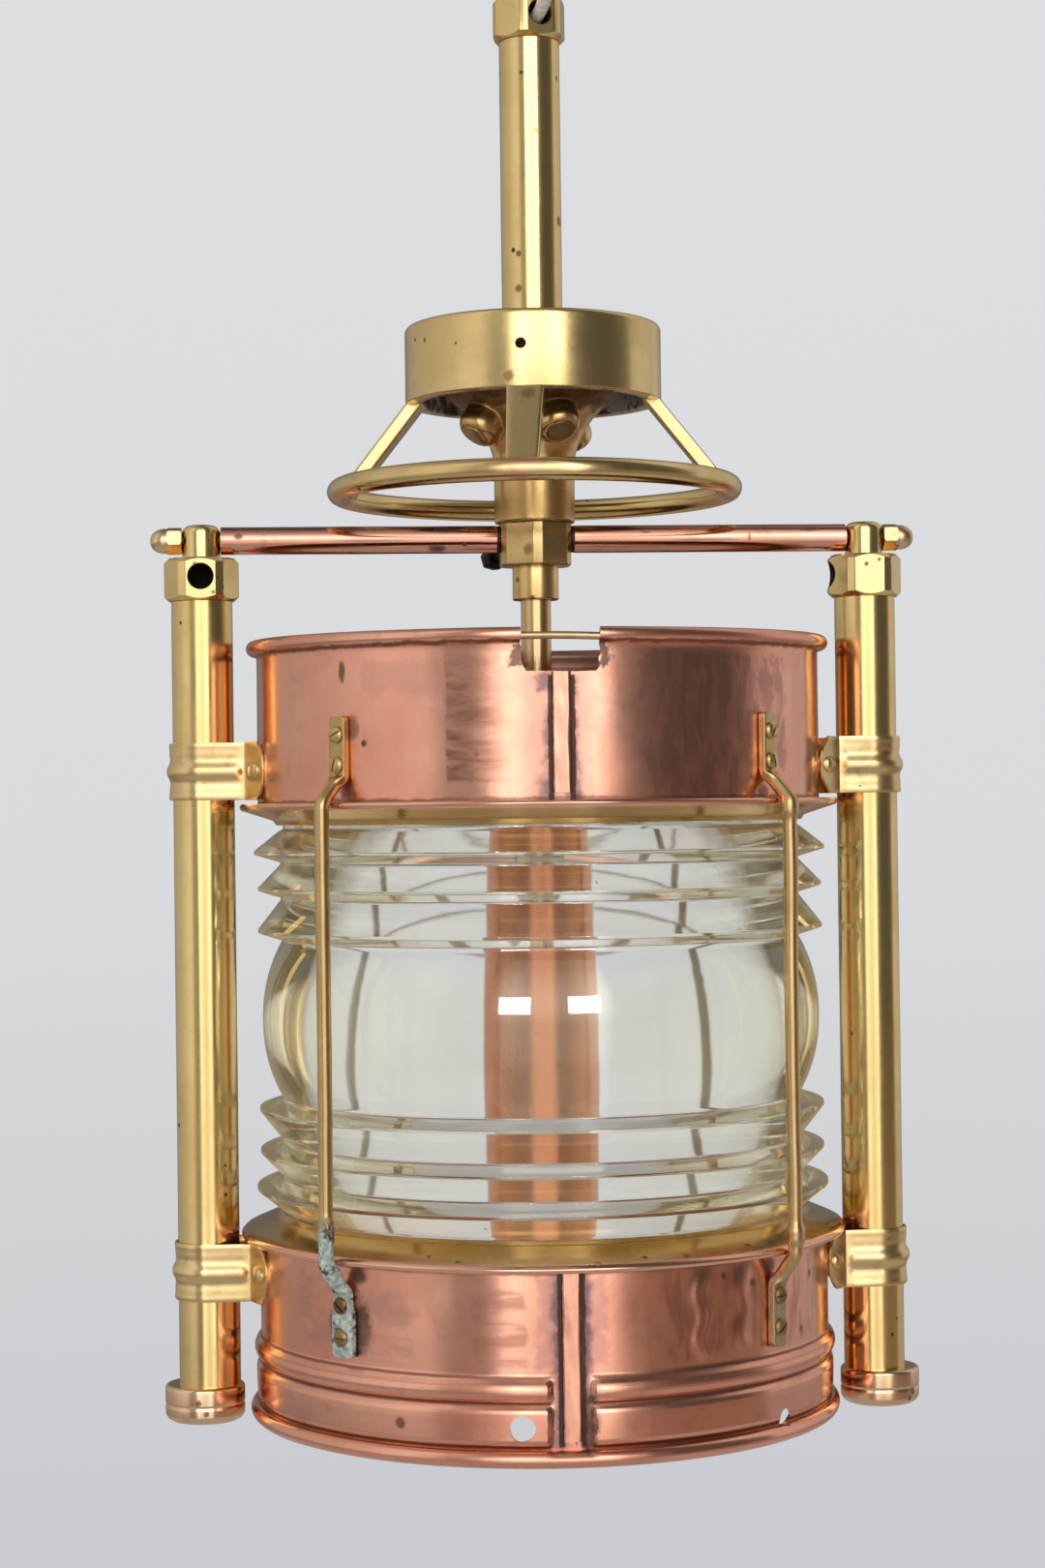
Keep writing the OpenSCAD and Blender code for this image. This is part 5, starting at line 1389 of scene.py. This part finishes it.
# ------------------------------------------------------------------ flanges and lens
fl = rounded([(86.5, Z_LENS + 75), (D2 - 1.7, Z_LENS + 76.9, 0.3), (D2 - 1.7, Z_LENS + 85.5, 0.3), (D2, Z_LENS + 85.5, 0.3), (D2, Z_LENS + 77.6, 0.3),
              (107.7, Z_LENS + 77.6, 0.6), (108.3, Z_LENS + 76.7, 0.5), (107.9, Z_LENS + 75.4, 0.8), (96.3, Z_LENS + 71.6, 1.5),
              (95.2, Z_LENS + 69.9, 0.6), (93.4, Z_LENS + 69.9, 0.3), (93.4, Z_LENS + 73.5), (86.5, Z_LENS + 73.5)])
o = lathe("upper_flange_shown", fl, m_flange_up, "brass_flange", "lantern", 384, wob=dents(21.0, 0.12, 40))
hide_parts("upper_flange")
fl = rounded([(86.5, Z_LENS - 75), (86.5, Z_LENS - 73.5), (93.4, Z_LENS - 73.5), (93.4, Z_LENS - 68.5, 0.3), (95.2, Z_LENS - 68.5, 0.5), (96.4, Z_LENS - 69.9, 2),
              (108.0, Z_LENS - 74.8, 1.2), (109.2, Z_LENS - 76.1, 0.7), (108.6, Z_LENS - 77.5, 0.6), (B2, Z_LENS - 77.5), (B2, Z_LENS - 85.5),
              (B2 - 1.7, Z_LENS - 85.5), (B2 - 1.7, Z_LENS - 76.9)])
o = lathe("lower_flange_shown", fl, m_flange_low, "brass_flange", "lantern", 384, wob=dents(25.0, 0.12, 40))
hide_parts("lower_flange")
give("upper_gasket", m_gasket)
give("lower_gasket", m_gasket)

half = []
for k in range(25):
    q = k / 24
    half.append((100.7 - 7.0 * q ** 2.2, 28.0 * q))
pr = [(93.9, 28.7, 0.5), (102.1, 31.3, 0.35), (102.1, 32.5, 0.35), (93.9, 43.0, 0.5), (93.9, 43.9, 0.5), (102.0, 46.4, 0.35), (102.0, 47.5, 0.35),
      (93.9, 55.8, 0.5), (93.9, 56.6, 0.5), (103.3, 59.4, 0.35), (103.3, 60.7, 0.35), (94.6, 67.6, 1.2), (92.8, 68.6, 0.5), (92.8, 72.2)]
upper_half = [(r, z) for r, z in half] + [p for p in pr]
lower_half = [tuple([p[0], -p[1]] + list(p[2:])) for p in reversed(upper_half[1:])]
outline = [(88.0, -72.2)] + lower_half + upper_half + [(88.0, 72.2)]
inner = [(88.0, 72.2 - 144.4 * k / 24) for k in range(1, 24)]
prof = rounded(outline + inner, n=6)
prof = [(r, z + Z_LENS) for r, z in prof]
lw = dents(31.0, 0.10, 45)
o = lathe("lens_shown", prof, m_lens, "lens_glass", "lantern", 420, wob=lambda ca, sa, r, z: lw(ca, sa, 100, z * 0.6), sharp=50)
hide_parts("lens")


# ------------------------------------------------------------------ guard rods
def guard(name, node, az, mat, seed, knots=(), foot=7.2):
    poly = [(DRUM_R + 1.55, Z_LENS + 106.8), (DRUM_R + 1.55, Z_LENS + 86.2, 2.5), (GUARD_R, Z_LENS + 77.2, 4),
            (GUARD_R, Z_LENS - 77.2, 4), (BASE_R + 1.55, Z_LENS - 87.6, 2.5), (BASE_R + 1.55, Z_LENS - 109.0)]
    line = rounded(poly, closed=False, n=10)
    L = [Vector((0, -r, z)) for r, z in line]
    d = [0.0]
    for i in range(1, len(L)):
        d.append(d[-1] + (L[i] - L[i - 1]).length)
    n = 260
    P = []
    j = 0
    for k in range(n + 1):
        s = d[-1] * k / n
        while j < len(d) - 2 and d[j + 1] < s:
            j += 1
        q = (s - d[j]) / max(1e-9, d[j + 1] - d[j])
        P.append(L[j].lerp(L[j + 1], min(1, max(0, q))))

    def shape(i):
        z = P[i].z - Z_LENS
        e = min(d[-1] * i / n, d[-1] * (n - i) / n)
        if z > 0:
            f = 1 - min(1, max(0, (z - 83.2) / 2.8))      # 1 = round rod, 0 = flat lug
            w0 = 7.2
        else:
            f = 1 - min(1, max(0, (-z - 84.6) / 2.8))
            w0 = 7.2 + (foot - 7.2) * min(1, max(0, (-z - 91.5) / 2.5))
        f = f * f * (3 - 2 * f)
        w = w0 + (4.9 - w0) * f
        t = 2.9 + (4.8 - 2.9) * f
        p = 8 + (2.1 - 8) * f
        if e < 1.2:
            w -= 1.8 * (1 - e / 1.2) ** 2
        for zc, hl, amp in knots:
            g = math.exp(-((z - zc) / hl) ** 4) * (amp + 0.5 * noise.noise(Vector((seed * 2, z * 0.5, 3))))
            w += g
            t += g * 0.8
        w += 0.16 * noise.noise(Vector((seed, z * 0.06, 0)))
        t += 0.12 * noise.noise(Vector((seed, z * 0.07, 5)))
        return superellipse(w, t, p, 36)

    path = []
    for i in range(n + 1):
        k = min(1, min(i, n - i) / 60)
        a = 0.7 * noise.noise(Vector((seed * 3, P[i].z * 0.012, 1)))
        b = 0.25 * noise.noise(Vector((seed * 5, P[i].z * 0.02, 2)))
        path.append((P[i].x + a * k, P[i].y - abs(b) * k, P[i].z))
    v, f = sweep_data(path, [(1, 0, 0)] * (n + 1), shape)
    o = finish_mesh(name, place(v, Matrix.Rotation(radians(az), 4, "Z")), f, mat, "brass_guard", "lantern", 45)
    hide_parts(node)
    return o


def verdigris(mat, centre, half_z, amount=1.0, lift=0.0):
    """Pale green crust with dark rims over part of a guard rod."""
    nt = NT(mat.node_tree)
    b = mat.node_tree.nodes["Principled BSDF"]
    co = obj_coord(nt)
    s = nt.sep(co)
    n = nt.noise(co, 210, 5, 0.68)
    n2 = nt.noise(nt.vmath("ADD", co, (0.4, 0.1, 0.9)), 480, 4, 0.6)
    dz = nt.math("ABSOLUTE", nt.math("SUBTRACT", s[2], centre * MM))
    fz = nt.step(nt.math("ADD", dz, nt.math("MULTIPLY", nt.math("SUBTRACT", n, 0.5), 0.020)), half_z * 0.75 * MM, half_z * 1.1 * MM, 1.0, 0.0)
    f = nt.math("MULTIPLY", nt.math("MULTIPLY", fz, nt.step(n, 0.40 - lift, 0.52 - lift)), amount)
    rim = nt.math("MULTIPLY", fz, nt.step(n, 0.28, 0.40))
    col = b.inputs["Base Color"].links[0].from_socket
    rgh = b.inputs["Roughness"].links[0].from_socket
    col = nt.mix(nt.math("MULTIPLY", rim, amount), col, (0.085, 0.060, 0.035))
    green = nt.mix(nt.step(n2, 0.35, 0.65), (0.30, 0.38, 0.33), (0.62, 0.68, 0.62))
    col = nt.mix(f, col, green)
    nt.put(b.inputs["Base Color"], col)
    nt.put(b.inputs["Roughness"], nt.fmix(f, rgh, 0.85))
    nt.put(b.inputs["Metallic"], nt.fmix(f, 1.0, 0.0))
    nrm = b.inputs["Normal"].links[0].from_socket
    nt.put(b.inputs["Normal"], nt.bump(nt.math("MULTIPLY", f, n2), 0.7, 0.0014, nrm))


m_gfl = brass("brass_guard_fl", base=(0.62, 0.43, 0.20), rough=0.26, stain=0.8, cast=True)
verdigris(m_gfl, Z_LENS - 88, 26, 1.0, 0.03)
m_gfr = brass("brass_guard_fr", base=(0.66, 0.46, 0.22), rough=0.26, stain=0.8, cast=True, spots=[
    (cyl(46.5, 105.5, Z_LENS - 103.2), 0.0026, 0.9), (cyl(45, 105.5, Z_LENS - 93), 0.0020, 0.5)])
verdigris(m_gfr, Z_LENS - 96, 14, 0.22)
guard("guard_front_left_shown", "guard_front_left", -45, m_gfl, 1.0, [(-66, 5.0, 0.7), (-80, 4.0, 1.1)], 9.2)
guard("guard_front_right_shown", "guard_front_right", 45, m_gfr, 2.0, [(74.4, 3.0, 1.7), (-70.4, 3.2, 1.9)])
guard("guard_rear_left_shown", "guard_rear_left", -135, m_guard, 3.0, [(74, 3, 0.5)])
guard("guard_rear_right_shown", "guard_rear_right", 135, m_guard, 4.0, [(-70, 3, 0.6)])

parts, slots_cut = [], []
for r, zsr, t0, tk, ti in ((DRUM_R, (100.4, 90.2), 25, 50, 31), (BASE_R, (-91.6, -102.4), 140, 35, 43)):
    for i, az in enumerate((-45, 45, 135, -135)):
        for k, z in enumerate(zsr):
            prof = rounded([(0, -4.5), (1.5, -4.5), (1.5, 3.05), (3.0, 3.05, 0.2), (2.95, 3.7, 0.5), (2.0, 4.45, 1.3), (0, 4.7)], closed=False)
            v, f = lathe_data(prof, 40, closed=False)
            M = m_at(az, r, Z_LENS + z) @ Matrix.Rotation(radians(t0 + tk * k + ti * i), 4, "Z")
            parts.append((place(v, M), f))
            bv, bf = prism_data([(-4, -0.38), (4, -0.38), (4, 0.38), (-4, 0.38)], 3.75, 7)
            slots_cut.append((place(bv, M), bf))
screws = finish_mesh("guard_screws_shown", *join_data(parts), m_screw, "brass_guard", "lantern", 40)
boolean(screws, [tool(*join_data(slots_cut))], "DIFFERENCE", 40)
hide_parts("guard_screws")
give("guard_nuts", m_nut, 30)

# ------------------------------------------------------------------ floor and light
fm, nt, b = material("floor_mat")
co = obj_coord(nt)
s = nt.sep(co)
rad = nt.vmath("LENGTH", nt.combine(s[0], s[1], 0.0))
n = nt.noise(co, 3.0, 3, 0.5)
nt.put(b.inputs["Base Color"], nt.mix(nt.step(n, 0.3, 0.7), (0.84, 0.85, 0.87), (0.81, 0.82, 0.84)))
b.inputs["Roughness"].default_value = 0.85
nt.put(b.inputs["Alpha"], nt.step(rad, 0.9, 2.2, 1.0, 0.0))
fv, ff = [], []
RN, SN = 24, 96
for k in range(RN + 1):
    for i in range(SN):
        a = 2 * pi * i / SN
        r = 2300.0 * k / RN
        fv.append((r * cos(a), r * sin(a), -1150.0))
for k in range(RN):
    for i in range(SN):
        ff.append((k * SN + i, k * SN + (i + 1) % SN, (k + 1) * SN + (i + 1) % SN, (k + 1) * SN + i))
floor = finish_mesh("floor", fv, ff, fm, None, None)

world = bpy.data.worlds.new("studio")
scene.world = world
world.use_nodes = True
nt = NT(world.node_tree)
for node in list(nt.n):
    nt.n.remove(node)
out = nt.new("ShaderNodeOutputWorld")
gen = nt.new("ShaderNodeTexCoord").outputs["Generated"]
d = nt.sep(gen)
# azimuth in degrees, 0 towards the photographed side, + to its right; elevation in degrees
xr = nt.math("ADD", nt.math("MULTIPLY", d[0], cos(CAM_AZ)), nt.math("MULTIPLY", d[1], sin(CAM_AZ)))
yr = nt.math("ADD", nt.math("MULTIPLY", d[0], sin(CAM_AZ)), nt.math("MULTIPLY", d[1], -cos(CAM_AZ)))
az = nt.math("MULTIPLY", nt.math("ARCTAN2", xr, yr), 180 / pi)
el = nt.math("MULTIPLY", nt.math("ARCSINE", d[2]), 180 / pi)
fac = nt.math("ADD", nt.math("DIVIDE", az, 360.0), 0.5)
efac = nt.math("ADD", nt.math("DIVIDE", el, 180.0), 0.5)


def grey(v, t=(1.0, 0.985, 0.96)):
    return tuple(v * k for k in t)


def around(stops):
    return nt.ramp(fac, [((a + 180) / 360, grey(v)) for a, v in stops])


def height(stops):
    return nt.ramp(efac, [((e + 90) / 180, v) for e, v in stops])


# walls of the room, without the bright window
walls = around([(-180, 0.13), (-168, 0.15), (-157, 0.28), (-140, 0.42), (-104, 0.54), (-86, 0.62), (-70, 0.74), (-58, 0.84), (-45, 0.80), (-41, 0.62),
                (-37, 0.40), (-26, 0.34), (28, 0.30), (34, 0.24), (42, 0.13), (50, 0.10), (78, 0.10), (88, 0.16), (95, 0.22), (98, 0.58),
                (124, 0.60), (130, 0.46), (140, 0.58), (152, 0.42), (166, 0.18), (180, 0.13)])
walls = nt.mix(1.0, walls, height([(-90, 0.20), (-50, 0.26), (-22, 0.42), (-12, 0.66), (-8, 0.90), (-4, 1.0), (30, 1.0), (50, 1.1), (66, 0.7), (90, 0.35)]), "MULTIPLY")
warm = nt.mix(1.0, height([(-90, 0.45), (-40, 0.6), (-20, 0.85), (-10, 0.9), (-7, 0.75), (-4, 0.0), (90, 0.0)]), (0.33, 0.25, 0.20), "MULTIPLY")
walls = nt.mix(1.0, walls, warm, "LIGHTEN")
# the window towards the front, brighter the higher one looks
wz = height([(-90, 0.22), (-50, 0.35), (-30, 0.8), (-13, 1.55), (-9, 1.70), (-4, 1.75), (0, 2.0), (2, 2.0), (3.5, 2.35), (5, 2.8), (8, 3.3), (11, 3.8), (20, 4.2), (30, 2.9), (45, 1.3), (65, 0.6), (90, 0.35)])
wz = nt.math("MULTIPLY", wz, 1.0)
ramp_w = nt.ramp(fac, [((a + 180) / 360, v) for a, v in [(-180, 0.0), (-22, 0.0), (-17, 0.72), (-12, 1.0), (-6, 0.70), (0, 0.60), (12, 0.62), (18, 0.85), (22, 1.05), (26, 0.85), (31, 0.0), (180, 0.0)]])
window = nt.math("MULTIPLY", ramp_w, wz)
env = nt.mix(1.0, walls, nt.combine(window, nt.math("MULTIPLY", window, 0.99), nt.math("MULTIPLY", window, 0.97)), "LIGHTEN")


def card(a0, e0, ha, he, soft, power):
    fa = nt.step(nt.math("ABSOLUTE", nt.math("SUBTRACT", az, a0)), ha, ha + soft, 1.0, 0.0)
    fe = nt.step(nt.math("ABSOLUTE", nt.math("SUBTRACT", el, e0)), he, he + soft, 1.0, 0.0)
    return nt.math("MULTIPLY", nt.math("MULTIPLY", fa, fe), power)


lp = nt.new("ShaderNodeLightPath")
lamps = nt.math("ADD", card(-11, 14, 6.0, 5.5, 1.0, 37.0), card(17.5, 14, 6.0, 5.5, 1.0, 37.0))
lamps = nt.math("MULTIPLY", lamps, lp.outputs["Is Singular Ray"])
# what shows through the lens is the pale room behind it
through = nt.ramp(fac, [((a + 180) / 360, v) for a, v in [
    (-180, (0.86, 0.86, 0.86)), (-116, (0.84, 0.84, 0.83)), (-92, (0.70, 0.665, 0.56)), (-66, (0.56, 0.49, 0.32)), (-40, (0.34, 0.28, 0.17)),
    (40, (0.30, 0.245, 0.15)), (66, (0.50, 0.435, 0.285)), (92, (0.67, 0.635, 0.53)), (116, (0.82, 0.82, 0.81)), (180, (0.86, 0.86, 0.86))]])
front = nt.mix(1.0, nt.mix(1.0, through, env, "LIGHTEN"), (1.30, 1.28, 1.25), "DARKEN")
front = nt.mix(nt.step(nt.math("ABSOLUTE", az), 36, 44), front, through)
env = nt.mix(lp.outputs["Is Transmission Ray"], env, front)
env = nt.mix(1.0, env, nt.combine(lamps, lamps, lamps), "ADD")
bg_light = nt.new("ShaderNodeBackground")
nt.put(bg_light.inputs[0], env)
bg_light.inputs[1].default_value = 1.0
backdrop = nt.ramp(nt.math("ADD", nt.math("DIVIDE", el, 60.0), 0.5), [(0.0, (0.56, 0.57, 0.60)), (0.27, (0.58, 0.595, 0.625)), (0.5, (0.70, 0.715, 0.735)), (0.73, (0.715, 0.73, 0.755)), (1.0, (0.70, 0.71, 0.73))])
bg_cam = nt.new("ShaderNodeBackground")
nt.put(bg_cam.inputs[0], backdrop)
mixs = nt.new("ShaderNodeMixShader")
nt.put(mixs.inputs[0], lp.outputs["Is Camera Ray"])
nt.l.new(bg_light.outputs[0], mixs.inputs[1])
nt.l.new(bg_cam.outputs[0], mixs.inputs[2])
nt.l.new(mixs.outputs[0], out.inputs[0])
